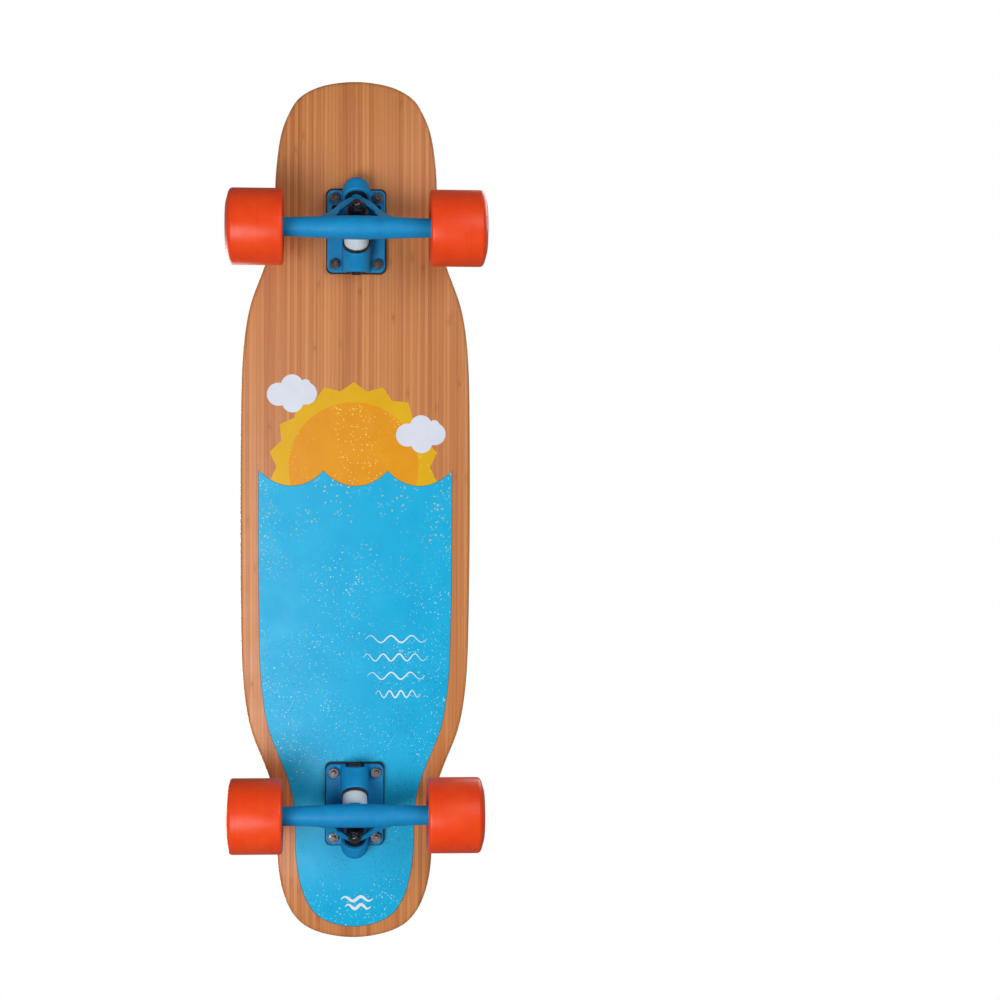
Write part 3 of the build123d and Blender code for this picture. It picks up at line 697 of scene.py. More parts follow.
BAMBOO = Bamboo("bamboo strips")
BADGE_BAMBOO = Bamboo("badge bamboo", 7.0 * MM, rgb(232, 170, 118), rgb(206, 138, 84))
RAIL = RailPlies("rail plies")
SEA = SeaInk("sea ink", scale=460.0, size=0.24, patches=13.0)
SUN = Ink("sun ink", rgb(234, 158, 18), rgb(226, 146, 16), rgb(250, 220, 120), 0.28, 400.0, 26.0)
RAYS = Ink("ray ink", rgb(230, 180, 8), rgb(224, 172, 6), rgb(248, 226, 130), 0.16, 360.0, share=0.7)
CLOUD = Ink("cloud ink", rgb(226, 231, 243), rgb(214, 221, 236), rgb(150, 190, 214), 0.14, share=0.5)
# thin dark line round the edge of the sea
LINE = Ink("dark sea edge line", rgb(52, 74, 84), rgb(70, 62, 54), rgb(120, 96, 76), 0.2)
BLACK_INK = Ink("black ink", rgb(22, 22, 28), rgb(34, 32, 40), rgb(96, 74, 60), 0.12, 700.0)
WHITE_INK = Ink("white ink", rgb(240, 243, 246), rgb(222, 232, 238), rgb(120, 196, 226), 0.2, 600.0, share=0.6)
GRIP = GripSheet("grip sheet")
CAST = CastPaint("cast paint")
BLACK_STEEL = Metal("black steel", rgb(92, 88, 90), rgb(60, 58, 62), rgb(168, 164, 164))
ZINC = Metal("zinc steel")
BEARING = Metal("bearing steel", rgb(196, 197, 200), rgb(168, 168, 172), rgb(224, 225, 228), 0.12, 0.28)
SHIELD = Moulding("bearing shield", rgb(26, 26, 30), rgb(36, 36, 40), 0.32, 0.5)
BUSHING = Moulding("bushing urethane", rgb(226, 240, 250), rgb(214, 232, 246), 0.3, 0.45, 0.1)
RUBBER = Moulding("riser rubber", rgb(20, 22, 26), rgb(32, 34, 38), 0.55, 0.75)
PIVOT_CUP = Moulding("pivot plastic", rgb(18, 18, 20), rgb(30, 30, 33), 0.4, 0.6)
CORE = Moulding("core plastic", rgb(232, 232, 230), rgb(216, 217, 217), 0.35, 0.5, 0.05)
CAGE = Moulding("cage plastic", rgb(196, 170, 120), rgb(176, 150, 104), 0.4, 0.6)


# ------------------------------------------------------------------ pieces
def finished(
    name: str, bm: bmesh.types.BMesh, finish: Finish, body: str, crease: float
) -> bpy.types.Object:
    """Turn a bmesh into a finished piece on its body.

    Args:
        name: the piece's name.
        bm: its mesh, in place. It is freed.
        finish: its finish.
        body: body that it rides on.
        crease: angle in degrees above which an edge stays sharp.

    Returns:
        The piece.
    """
    bmesh.ops.recalc_face_normals(bm, faces=bm.faces[:])
    mesh = bpy.data.meshes.new(name)
    bm.to_mesh(mesh)
    bm.free()
    mesh.shade_smooth()
    mesh.set_sharp_from_angle(angle=math.radians(crease))
    mesh.materials.append(finish.material())
    piece = bpy.data.objects.new(name, mesh)
    bpy.context.scene.collection.objects.link(piece)
    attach(piece, body)
    log.info("%s: %d faces", name, len(mesh.polygons))
    return piece


def refinish(node: str, finish: Finish) -> None:
    """Give a CAD node that keeps its shape a better material."""
    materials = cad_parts[node].data.materials
    materials.clear()
    materials.append(finish.material())


def merged_copy(node: str) -> bmesh.types.BMesh:
    """A CAD node's mesh with its loose triangles joined."""
    bm = bmesh.new()
    bm.from_mesh(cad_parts[node].data)
    bmesh.ops.remove_doubles(bm, verts=bm.verts[:], dist=MERGE)
    return bm


def machined(node: str, finish: Finish, body: str, edge: float) -> None:
    """A turned or pressed piece: the CAD shape with its edges broken.

    Args:
        node: CAD node that it stands for.
        finish: its finish.
        body: body that it rides on.
        edge: width of the broken edges, in millimetres.
    """
    bm = merged_copy(node)
    bmesh.ops.dissolve_limit(
        bm, angle_limit=math.radians(1.0), use_dissolve_boundaries=False,
        verts=bm.verts[:], edges=bm.edges[:], delimit={"NORMAL"},
    )
    piece = finished(node + "_finished", bm, finish, body, 40.0)
    broken = piece.modifiers.new("broken edges", "BEVEL")
    broken.width = edge * MM
    broken.segments = 2
    broken.limit_method = "ANGLE"
    broken.angle_limit = math.radians(40)
    broken.use_clamp_overlap = True
    broken.harden_normals = True
    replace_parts(piece, node)


def cast(node: str, finish: Finish, body: str, voxel: float, passes: int) -> bpy.types.Object:
    """A casting: the CAD shape with every edge and corner run soft.

    Args:
        node: CAD node that it stands for.
        finish: its finish.
        body: body that it rides on.
        voxel: size of the remeshing cells.
        passes: rounds of smoothing.

    Returns:
        The piece.
    """
    piece = finished(node + "_casting", merged_copy(node), finish, body, 180.0)
    remesh = piece.modifiers.new("even skin", "REMESH")
    remesh.mode = "VOXEL"
    remesh.voxel_size = voxel
    remesh.use_smooth_shade = True
    soft = piece.modifiers.new("soft edges", "SMOOTH")
    soft.factor = 0.5
    soft.iterations = passes
    graph = bpy.context.evaluated_depsgraph_get()
    graph.update()
    skin = bpy.data.meshes.new_from_object(piece.evaluated_get(graph))
    piece.modifiers.clear()
    piece.data = skin
    skin.name = piece.name
    if not skin.materials:
        skin.materials.append(finish.material())
    skin.shade_smooth()
    log.info("%s: cast skin of %d faces", piece.name, len(skin.polygons))
    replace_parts(piece, node)
    return piece


def geometry(bm: bmesh.types.BMesh) -> list:
    """Every vertex, edge and face of a mesh."""
    return bm.verts[:] + bm.edges[:] + bm.faces[:]


def raised(bm: bmesh.types.BMesh, by: float) -> None:
    """Give flat faces a thickness upwards."""
    made = bmesh.ops.extrude_face_region(bm, geom=bm.faces[:])
    bmesh.ops.translate(bm, verts=[g for g in made["geom"] if isinstance(g, bmesh.types.BMVert)], vec=(0, 0, by))


def closed_loop(bm: bmesh.types.BMesh, points: list) -> tuple:
    """Vertices at points, and the edges that join them in a ring."""
    verts = [bm.verts.new(point) for point in points]
    return verts, [bm.edges.new((verts[i - 1], verts[i])) for i in range(len(verts))]


# ------------------------------------------------------------------ deck
def closed_curve(points: list, step: float) -> list:
    """Smooth closed curve through points, with even curvature everywhere.

    Args:
        points: (x, y) points in order.
        step: distance between the points that come back.

    Returns:
        Points along the curve.
    """
    given = np.array(points, float)
    count = len(given)
    chord = np.linalg.norm(np.roll(given, -1, 0) - given, axis=1)
    system, wanted = np.zeros((count, count)), np.zeros((count, 2))
    for i in range(count):
        back, ahead = chord[i - 1], chord[i]
        before, after = (i - 1) % count, (i + 1) % count
        system[i, before] += 1 / back
        system[i, i] += 2 / back + 2 / ahead
        system[i, after] += 1 / ahead
        wanted[i] = 3 * ((given[i] - given[before]) / back**2 + (given[after] - given[i]) / ahead**2)
    slope = np.linalg.solve(system, wanted)
    curve = []
    for i in range(count):
        after = (i + 1) % count
        for t in np.arange(0, 1, 1 / max(1, round(chord[i] / step))):
            shape = (
                (2 * t**3 - 3 * t**2 + 1) * given[i] + (3 * t**2 - 2 * t**3) * given[after]
                + chord[i] * ((t**3 - 2 * t**2 + t) * slope[i] + (t**3 - t**2) * slope[after])
            )
            curve.append((float(shape[0]), float(shape[1])))
    return curve


@dataclass
class BoardForm:
    """Shape of the deck: its outline, its concave across and its kick at each end.

    The shapes are (millimetres, share of the half width) from the nose, from the tail and from each truck inwards.
    """

    nose_half: float = 78.0 * MM
    tail_half: float = 75.5 * MM
    concave: float = 1.0
    nose_kick: float = 0.29
    tail_kick: float = 0.25
    kick_start: float = 56.0 * MM
    kick_step: float = 7.0 * MM
    flat_step: float = 62.0 * MM
    cross_step: float = 8.0 * MM
    plies: int = 7
    nose_shape: tuple = (
        (2.0, 0.28), (5.0, 0.44), (11.0, 0.61), (18.0, 0.725), (29.0, 0.815), (46.0, 0.907), (70.0, 0.967),
        (100.0, 1.0),
    )
    tail_shape: tuple = (
        (2.5, 0.30), (7.0, 0.50), (13.0, 0.645), (23.0, 0.775), (36.0, 0.872), (54.0, 0.948), (80.0, 0.997),
    )
    flare: tuple = (
        (2.0, 0.05), (27.0, 0.24), (48.0, 0.47), (66.0, 0.67), (96.0, 0.86), (128.0, 0.95), (173.0, 0.99),
    )
    base: float = field(init=False)
    ply: float = field(init=False)
    thickness: float = field(init=False)
    nose: float = field(init=False)
    tail: float = field(init=False)
    half: float = field(init=False)
    front: float = field(init=False)
    rear: float = field(init=False)

    def __post_init__(self) -> None:
        """Take the sizes that the frame knows."""
        low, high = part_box("deck_core_plies")
        self.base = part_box("deck_bottom_ply")[0].z
        self.ply = (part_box("deck_top_ply")[0].z - self.base) / (self.plies - 1)
        self.thickness = self.ply * self.plies
        self.nose, self.tail, self.half = high.x, low.x, high.y
        self.front = sum(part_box("front_riser_pad"), Vector()).x / 2
        self.rear = sum(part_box("rear_riser_pad"), Vector()).x / 2

    def outline(self, side: float = 0.0, nose: float = 0.0, tail: float = 0.0, step: float = 5 * MM) -> list:
        """Edge of the deck, drawn in by a margin at each side and end.

        Args:
            side: margin along the rails.
            nose: margin at the nose.
            tail: margin at the tail.
            step: distance between points.

        Returns:
            Closed loop of (x, y) points.
        """
        tip, end = self.nose - nose, self.tail + tail
        fore, aft, body = self.nose_half - side, self.tail_half - side, self.half - side
        left = [(tip, 0.0)]
        left += [(tip - back * MM, share * fore) for back, share in self.nose_shape]
        left += [(self.front - inboard * MM, fore + share * (body - fore)) for inboard, share in self.flare]
        left += [(self.rear + inboard * MM, aft + share * (body - aft)) for inboard, share in reversed(self.flare)]
        left += [(end + ahead * MM, share * aft) for ahead, share in reversed(self.tail_shape)]
        left.append((end, 0.0))
        return closed_curve(left + [(x, -y) for x, y in reversed(left[1:-1])], step)

    def bent(self, place: Vector) -> Vector:
        """Where a point of the flat drawing lies on the curved board.

        Args:
            place: along, across and above the underside.

        Returns:
            The point in space.
        """
        rise = self.concave - math.sqrt((self.concave - place.z) ** 2 - place.y * place.y)
        for start, radius, way in (
            (self.front + self.kick_start, self.nose_kick, 1), (self.rear - self.kick_start, self.tail_kick, -1),
        ):
            beyond = way * (place.x - start)
            if beyond > 0:
                arm = radius - rise
                rise = radius - math.sqrt(arm * arm - beyond * beyond)
                break
        return Vector((place.x, place.y, self.base + rise))

    def bend(self, bm: bmesh.types.BMesh) -> None:
        """Lay a flat drawing on the board, and keep where it lay flat as an attribute."""
        lay = bm.verts.layers.float_vector.new("lay")
        for vert in bm.verts:
            vert[lay] = vert.co
            vert.co = self.bent(vert.co)

    def slice(self, bm: bmesh.types.BMesh) -> None:
        """Cut a flat drawing's faces so that they can follow the curves."""
        low = Vector([min(v.co[i] for v in bm.verts) for i in range(3)])
        high = Vector([max(v.co[i] for v in bm.verts) for i in range(3)])
        flat_from, flat_to = self.rear - self.kick_start, self.front + self.kick_start
        along = np.concatenate([
            np.arange(self.tail, flat_from, self.kick_step), np.arange(flat_from, flat_to, self.flat_step),
            np.arange(flat_to, self.nose, self.kick_step),
        ])
        across = np.arange(-self.half, self.half, self.cross_step)
        cuts = [(Vector((x, 0, 0)), Vector((1, 0, 0))) for x in along if low.x < x < high.x]
        cuts += [(Vector((0, y, 0)), Vector((0, 1, 0))) for y in across if low.y < y < high.y]
        for place, way in cuts:
            bmesh.ops.bisect_plane(bm, geom=geometry(bm), dist=NEAR_PLANE, plane_co=place, plane_no=way)


@dataclass
class Deck:
    """Laminate of bamboo skins on a ply core, with rounded rails."""

    form: BoardForm
    rounding: float = 3.4 * MM

    def layer(self, low: float, high: float) -> bmesh.types.BMesh:
        """One layer of the laminate, between two heights, closed and bent.

        Args:
            low: lower face above the underside.
            high: upper face above the underside.

        Returns:
            The layer's mesh.
        """
        bm = bmesh.new()
        bm.faces.new([bm.verts.new((x, y, 0)) for x, y in self.form.outline()])
        raised(bm, self.form.thickness)
        bmesh.ops.recalc_face_normals(bm, faces=bm.faces[:])
        rims = [e for e in bm.edges if abs(e.verts[0].co.z - e.verts[1].co.z) < 1e-9]
        bmesh.ops.bevel(
            bm, geom=rims, offset=self.rounding, offset_type="OFFSET", segments=6,
            profile=0.5, affect="EDGES", material=-1, clamp_overlap=False,
        )
        for height, keep_up in ((low, True), (high, False)):
            if 0 < height < self.form.thickness - 1e-6:
                bmesh.ops.bisect_plane(
                    bm, geom=geometry(bm), dist=NEAR_PLANE, plane_co=(0, 0, height),
                    plane_no=(0, 0, 1), clear_inner=keep_up, clear_outer=not keep_up,
                )
                bmesh.ops.holes_fill(bm, edges=[e for e in bm.edges if e.is_boundary])
        self.form.slice(bm)
        self.form.bend(bm)
        return bm

    def build(self) -> None:
        """Make the three layers."""
        ply, top = self.form.ply, self.form.thickness
        for name, low, high, finish, slot in (
            ("deck_bottom_ply", 0.0, ply, BAMBOO, "bamboo"),
            ("deck_core_plies", ply, top - ply, RAIL, "core_ply"),
            ("deck_top_ply", top - ply, top, BAMBOO, "bamboo"),
        ):
            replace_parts(finished(name + "_laminate", self.layer(low, high), finish, DECK, 50.0), name)


@dataclass
class Artwork:
    """Anything printed or laid on one face of the board, drawn flat in board coordinates."""

    form: BoardForm
    side: Side
    slot: str
    ground: float = 0.0
    film_depth: float = 0.05 * MM
    film_step: float = 0.03 * MM
    sunk: float = 0.05 * MM

    def film(self, name: str, shapes: list, level: int, finish: Finish) -> None:
        """A layer of ink over one or more closed shapes.

        Args:
            name: the piece's name.
            shapes: loops of (x, y) points.
            level: how many films lie under it.
            finish: its ink.
        """
        bm = bmesh.new()
        for loop in shapes:
            bm.faces.new([bm.verts.new((x, y, 0)) for x, y in loop])
        self.form.slice(bm)
        self.laid(name, bm, level, finish)

    def laid(self, name: str, bm: bmesh.types.BMesh, level: int, finish: Finish) -> None:
        """Thicken a flat drawing into a film and lay it on the board.

        Args:
            name: the piece's name.
            bm: flat faces at height 0.
            level: how many films lie under it.
            finish: its ink.
        """
        thin = self.film_depth + self.film_step * level
        raised(bm, thin + self.sunk)
        start = self.ground - (self.sunk if self.side is Side.TOP else thin)
        bmesh.ops.translate(bm, verts=bm.verts[:], vec=(0, 0, start))
        self.form.bend(bm)
        finished(name, bm, finish, DECK, 30.0)


def polar(centre: Point, radius: float, turn: float) -> Point:
    """A point by its distance and its turn in radians."""
    return (centre[0] + radius * math.cos(turn), centre[1] + radius * math.sin(turn))


def circle(centre: Point, radius: float, count: int) -> list:
    """Points round a circle."""
    return [polar(centre, radius, 2 * math.pi * i / count) for i in range(count)]


def arc(centre: Point, radius: float, start: float, end: float, count: int) -> list:
    """Points along an arc, its ends in degrees."""
    return [polar(centre, radius, math.radians(start + (end - start) * i / (count - 1))) for i in range(count)]


def lobes(circles: list, centre: Point, count: int = 120) -> list:
    """Outline round overlapping circles, as seen from a point inside them.

    Args:
        circles: (x, y, radius) of each.
        centre: point inside.
        count: points on the outline.

    Returns:
        The outline.
    """
    outline = []
    for i in range(count):
        way = Vector(polar((0.0, 0.0), 1.0, 2 * math.pi * i / count))
        reach = 0.0
        for x, y, radius in circles:
            to = Vector((x - centre[0], y - centre[1]))
            along = to.dot(way)
            off = to.length_squared - along * along
            if off < radius * radius:
                reach = max(reach, along + math.sqrt(radius * radius - off))
        outline.append((centre[0] + way.x * reach, centre[1] + way.y * reach))
    return outline


def stroke(points: list, widths: list) -> list:
    """Outline of a brush stroke along points, with a width at each.

    Args:
        points: (x, y) points of its middle.
        widths: width at each point.

    Returns:
        The outline.
    """
    line = [Vector(p) for p in points]
    left, right = [], []
    for i, (place, width) in enumerate(zip(line, widths)):
        way = (line[min(i + 1, len(line) - 1)] - line[max(i - 1, 0)]).normalized()
        aside = Vector((-way.y, way.x)) * width / 2
        left.append(tuple(place + aside))
        right.append(tuple(place - aside))
    return left + right[::-1]


def ripple(x: float, y: float, length: float, swing: float, waves: float, width: float) -> list:
    """Outline of a wave drawn across the board in one stroke, thin at its ends, in millimetres.

    Args:
        x: its middle line along the board.
        y: where it starts.
        length: how far it runs across.
        swing: height of its crests.
        waves: number of crests.
        width: width of the stroke at its middle.

    Returns:
        The outline, in metres.
    """
    count = 60
    shares = [i / (count - 1) for i in range(count)]
    points = [((x + swing * math.sin(2 * math.pi * waves * t)) * MM, (y + length * t) * MM) for t in shares]
    return stroke(points, [width * MM * (0.25 + 0.75 * math.sin(math.pi * t)) for t in shares])


@dataclass
class UndersidePrint(Artwork):
    """Sun setting behind a scalloped sea, two clouds and small wave marks."""

    sun: Point = (45.6 * MM, -2.0 * MM)
    sun_radius: float = 63.0 * MM
    ray_tip: float = 82.5 * MM
    ray_root: float = 74.5 * MM
    ray_count: int = 18
    margin: float = 18.0 * MM
    tail_margin: float = 12.5 * MM
    scallops: int = 3
    crest: float = 42.0 * MM
    sag: float = 15.0 * MM
    line_width: float = 0.45 * MM
    clouds: tuple = ((116.5 * MM, -61.5 * MM), (77.5 * MM, 63.5 * MM))
    puffs: tuple = ((8.0, 0.0, 10.8), (-0.5, -13.2, 11.2), (0.5, 13.2, 10.8), (9.0, 12.8, 5.2), (-7.6, 0.5, 10.4))
    rows: tuple = ((-122.0, 10.0, 60.0), (-140.0, 8.0, 62.0), (-158.0, 12.0, 56.0), (-176.0, 20.0, 44.0))
    tail_waves: tuple = ((-378.0, -13.0, 31.0), (-386.0, -9.0, 25.0))

    def waterline(self, lift: float) -> list:
        """Scalloped top of the sea, from right to left.

        Args:
            lift: how far it is moved towards the nose.

        Returns:
            Points along it.
        """
        reach = self.form.half - self.margin
        points = []
        for i in range(16 * self.scallops + 1):
            across = i / 16
            dip = 1 - (2 * (across % 1) - 1) ** 2
            points.append((self.crest - self.sag * dip**0.9 + lift, reach * (2 * across / self.scallops - 1)))
        return points

    def sea(self, grow: float) -> list:
        """Outline of the sea, grown by a margin."""
        loop = self.form.outline(self.margin - grow, self.margin, self.tail_margin - grow, 4 * MM)
        below = [p for p in loop if p[0] < self.crest - 2 * self.sag]
        left = sorted((p for p in below if p[1] > 0), key=lambda p: -p[0])
        right = sorted((p for p in below if p[1] <= 0), key=lambda p: p[0])
        line = self.waterline(grow)
        line[0] = (line[0][0], right[-1][1])
        line[-1] = (line[-1][0], left[0][1])
        return line + left + right

    def rays(self) -> list:
        """Outline of the ring of rays."""
        reaches = (self.ray_tip, self.ray_root) * self.ray_count
        return [polar(self.sun, reach, math.pi * i / self.ray_count) for i, reach in enumerate(reaches)]

    def cloud(self, place: Point) -> list:
        """Outline of a cloud with five puffs."""
        return lobes([(place[0] + x * MM, place[1] + y * MM, r * MM) for x, y, r in self.puffs], place)

    def build(self) -> None:
        """Print each colour over the one before."""
        self.film("print_rays", [self.rays()], 0, RAYS)
        self.film("print_sun", [circle(self.sun, self.sun_radius, 96)], 1, SUN)
        # a thin dark line round the edge of the sea, lying just outside the sea's blue
        self.film("sea_dark_edge_line", [self.sea(self.line_width)], 2, LINE)
        self.film("print_sea", [self.sea(0.0)], 3, SEA)
        self.film("print_clouds", [self.cloud(place) for place in self.clouds], 4, CLOUD)
        marks = [ripple(*row, 3.4, 3 + number % 2, 1.3) for number, row in enumerate(self.rows)]
        marks += [ripple(*wave, 2.2, 2, 3.2) for wave in self.tail_waves]
        self.film("print_marks", marks, 4, WHITE_INK)


@dataclass
class Badge(Artwork):
    """Round bamboo badge in the grip: a rope border, pairs of arcs and an anchor.

    Places on the badge are (right, up) in millimetres, seen with the nose up.
    """

    rope_count: int = 112
    rope_inner: float = 45.4 * MM
    stock: tuple = ((-10.4, 14.6), (-6, 14.3), (0, 14.2), (6, 14.3), (10.4, 14.6))
    stock_widths: tuple = (0.6, 3.0, 2.2, 3.0, 0.6)
    crown: tuple = ((-6.5, -26.2), (0, -20.5), (6.5, -26.2), (0, -33.6))
    arm: tuple = ((27.6, -8.0), (25.0, -13.6), (20.6, -18.8), (14.6, -23.0), (8.0, -25.8), (0.0, -27.6))
    arm_widths: tuple = (3.0, 3.6, 4.0, 4.2, 4.8, 6.4)
    fluke: tuple = ((30.6, -3.2), (22.2, -9.2), (25.6, -9.6), (29.6, -12.0))
    radius: float = field(init=False)
    centre: Point = field(init=False)

    def __post_init__(self) -> None:
        """Take the badge's place from the frame."""
        low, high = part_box("deck_badge")
        self.radius = (high.y - low.y) / 2
        self.centre = ((low.x + high.x) / 2, 0.0)

    def path(self, points: tuple, hand: int = 1) -> list:
        """Places on the badge, mirrored where hand is -1."""
        return [(self.centre[0] + up * MM, self.centre[1] - hand * right * MM) for right, up in points]

    def brush(self, points: tuple, widths: tuple, hand: int = 1) -> list:
        """A stroke on the badge, with a width in millimetres at each place."""
        return stroke(self.path(points, hand), [width * MM for width in widths])

    def ring(self, name: str, centre: Point, radii: Point, count: int) -> None:
        """A printed black ring.

        Args:
            name: the piece's name.
            centre: its middle.
            radii: outer and inner radius.
            count: points round it.
        """
        bm = bmesh.new()
        edges = []
        for radius in radii:
            edges += closed_loop(bm, [(x, y, 0) for x, y in circle(centre, radius, count)])[1]
        bmesh.ops.bridge_loops(bm, edges=edges)
        self.laid(name, bm, 0, BLACK_INK)

    def strands(self) -> list:
        """White strands of the rope, each leaning over."""
        shapes = []
        for i in range(self.rope_count):
            turn = 360 * i / self.rope_count
            inner = arc(self.centre, 46.9 * MM, turn, turn + 1.3, 2)
            outer = arc(self.centre, 51.7 * MM, turn - 3.4, turn - 2.1, 2)
            shapes.append(inner + outer[::-1])
        return shapes

    def border_arcs(self) -> list:
        """Four pairs of fine arcs inside the rope."""
        return [
            stroke(arc(self.centre, radius * MM, middle - 37.5, middle + 37.5, 24), [0.75 * MM] * 24)
            for middle in (0, 90, 180, 270) for radius in (38.3, 40.7)
        ]

    def anchor(self) -> list:
        """Stock, shank, crown, arms and flukes."""
        shank = self.brush(((0, 23.8), (0, -24)), (4.6, 5.2))
        shapes = [self.brush(self.stock, self.stock_widths), shank, self.path(self.crown)]
        for hand in (-1, 1):
            shapes += [self.brush(self.arm, self.arm_widths, hand), self.path(self.fluke, hand)]
        return shapes

    def build(self) -> None:
        """Print the badge."""
        refinish("deck_badge", BADGE_BAMBOO)
        self.ring("badge_rope_ground", self.centre, (self.radius - 0.2 * MM, self.rope_inner), 144)
        self.film("badge_rope_strands", self.strands(), 1, WHITE_INK)
        self.film("badge_arcs", self.border_arcs(), 0, BLACK_INK)
        self.ring("badge_anchor_eye", self.path(((0, 28.2),))[0], (5.3 * MM, 3.9 * MM), 40)
        for number, shape in enumerate(self.anchor()):
            self.film(f"badge_anchor_{number}", [shape], number % 4, BLACK_INK)
        gleams = [
            self.brush(((-1.3, 22.8), (-1.3, -22.0)), (0.9, 0.9)),
            self.brush(((-2.2, -24.6), (-3.4, -27.0), (-2.0, -29.2)), (0.3, 0.9, 0.3)),
        ]
        self.film("badge_anchor_gleam", gleams, 5, WHITE_INK)


@dataclass
class TopMark(Artwork):
    """Small white waves on the grip, near the tail."""

    waves: tuple = ((-376.0, 15.0, -30.0), (-384.0, 11.0, -23.0))

    def build(self) -> None:
        """Print the two waves."""
        self.film("grip_wave_mark", [ripple(*wave, 2.2, 2, 3.0) for wave in self.waves], 0, WHITE_INK)


# ------------------------------------------------------------------ running gear
@dataclass
class Truck:
    """One truck: its castings, kingpin, bushings, axle and hardware."""

    end: str
    voxel: float = 0.75 * MM
    beam: float = 10.0 * MM
    belly: float = 0.14
    waist: float = 0.09

    def fuller_beam(self, casting: bpy.types.Object) -> None:
        """Swell the beam at its middle, and draw it in towards its ends.

        Args:
            casting: the hanger's cast skin.
        """
        axle = sum(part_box(f"{self.end}_axle"), Vector()) / 2
        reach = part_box(f"{self.end}_hanger")[1].y
        bm = bmesh.new()
        bm.from_mesh(casting.data)
        for vert in bm.verts:
            across = Vector((vert.co.x - axle.x, 0.0, vert.co.z - axle.z))
            near = min(1.0, max(0.0, (1.3 * self.beam - across.length) / (0.3 * self.beam)))
            near *= min(1.0, max(0.0, (across.length - 0.5 * self.beam) / (0.3 * self.beam)))
            share = min(1.0, abs(vert.co.y) / reach)
            swell = self.belly * (1 - share**1.5) ** 2 - self.waist * share**2 * (3 - 2 * share)
            vert.co += across * (near * swell)
        bm.to_mesh(casting.data)
        bm.free()

    def build(self) -> None:
        """Dress every piece of the truck."""
        end, hanger = self.end, self.end + "_hanger"
        self.fuller_beam(cast(hanger, CAST, hanger, self.voxel, 5))
        cast(f"{end}_baseplate", CAST, DECK, self.voxel, 3)
        for name, finish, body, slot, edge in (
            ("riser_pad", RUBBER, DECK, "riser", 0.5),
            ("pivot_bush", PIVOT_CUP, DECK, "pivot_plastic", 0.2),
            ("kingpin", BLACK_STEEL, DECK, "black_steel", 0.25),
            ("kingpin_nut", BLACK_STEEL, DECK, "black_steel", 0.3),
            ("cup_washers", BLACK_STEEL, DECK, "black_steel", 0.25),
            ("board_bushing", BUSHING, DECK, "bushing", 0.6),
            ("road_bushing", BUSHING, DECK, "bushing", 0.6),
            ("axle", ZINC, hanger, "zinc_steel", 0.2),
            ("speed_washers", ZINC, hanger, "zinc_steel", 0.15),
            ("axle_nuts", ZINC, hanger, "zinc_steel", 0.3),
            ("bearing_inner_races", BEARING, hanger, "bearing_steel", 0.2),
            ("bearing_spacers", ZINC, hanger, "zinc_steel", 0.15),
        ):
            machined(f"{end}_{name}", finish, body, edge)


@dataclass
class Wheel:
    """One wheel: a turned urethane tyre on a moulded core with two bearings."""

    name: str
    bulge: float = 3.0 * MM
    seat_start: float = 5.5 * MM
    seat_end: float = 21.5 * MM

    def profile(self, radius: float, width: float, bore: float) -> list:
        """Section of the tyre as (radius, distance from the inner face), counter-clockwise.

        Args:
            radius: outer radius.
            width: from inner lip to the bulge of the outer face.
            bore: radius of the hole for the core.

        Returns:
            Points of the section.
        """
        rim, low, high = width - self.bulge, self.seat_start, width - self.seat_end
        tread = ((radius, 0.0, 0.0, 3.4), (radius, 0.0, rim, -3.6))
        shoulder = ((radius, -0.5, rim, -2.0), (radius, -1.7, rim, -0.7), (radius, -3.6, rim, 0.3))
        face = ((radius, -8.0, rim, 1.5), (bore, 4.5, rim, 2.7), (bore, 2.4, width, 0.0))
        hollow = (
            (bore, 0.6, width, -0.3), (bore, -0.5, width, -1.5), (bore, -2.0, width, -8.0), (bore, -2.5, high, 1.5),
        )
        seat = ((bore, 0.0, high, 0.0), (bore, 0.0, low, 0.0))
        back = ((bore, -2.5, low, -1.0), (bore, -1.0, low, -2.0), (bore, 2.5, 0.0, 2.6), (radius, -7.6, 0.0, 0.5))
        edge = (
            (radius, -6.6, 0.0, 0.1), (radius, -3.2, 0.0, 0.0), (radius, -1.2, 0.0, 0.5), (radius, -0.2, 0.0, 1.7),
        )
        spots = tread + shoulder + face + hollow + seat + back + edge
        return [(out + more * MM, start + further * MM) for out, more, start, further in spots]

    def build(self) -> None:
        """Turn the tyre and dress the core and bearings."""
        low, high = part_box(f"{self.name}_tyre")
        axle_x, axle_z = (low.x + high.x) / 2, (low.z + high.z) / 2
        way = 1 if high.y > 0 else -1
        inner = low.y if way > 0 else high.y
        core_low, core_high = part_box(f"{self.name}_core")
        section = self.profile((high.z - low.z) / 2, high.y - low.y, (core_high.z - core_low.z) / 2)
        bm = bmesh.new()
        verts, edges = closed_loop(bm, [(axle_x + r, inner + way * s, axle_z) for r, s in section])
        bmesh.ops.spin(
            bm, geom=verts + edges, cent=(axle_x, 0, axle_z), axis=(0, 1, 0), angle=2 * math.pi,
            steps=96, use_merge=True, use_duplicate=False,
        )
        bmesh.ops.remove_doubles(bm, verts=bm.verts[:], dist=1e-6)
        body = f"{self.name}_wheel"
        urethane = Urethane(f"{self.name} urethane", axle_x, axle_z)
        tyre = finished(f"{self.name}_tyre_turned", bm, urethane, body, 60.0)
        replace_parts(tyre, f"{self.name}_tyre")
        for part, finish, slot, edge in (
            ("core", CORE, "core_plastic", 0.3), ("outer_races", BEARING, "bearing_steel", 0.2),
            ("cages", CAGE, "cage_plastic", 0.05), ("shields", SHIELD, "bearing_shield", 0.08),
        ):
            machined(f"{self.name}_{part}", finish, body, edge)
        refinish(f"{self.name}_balls", BEARING)


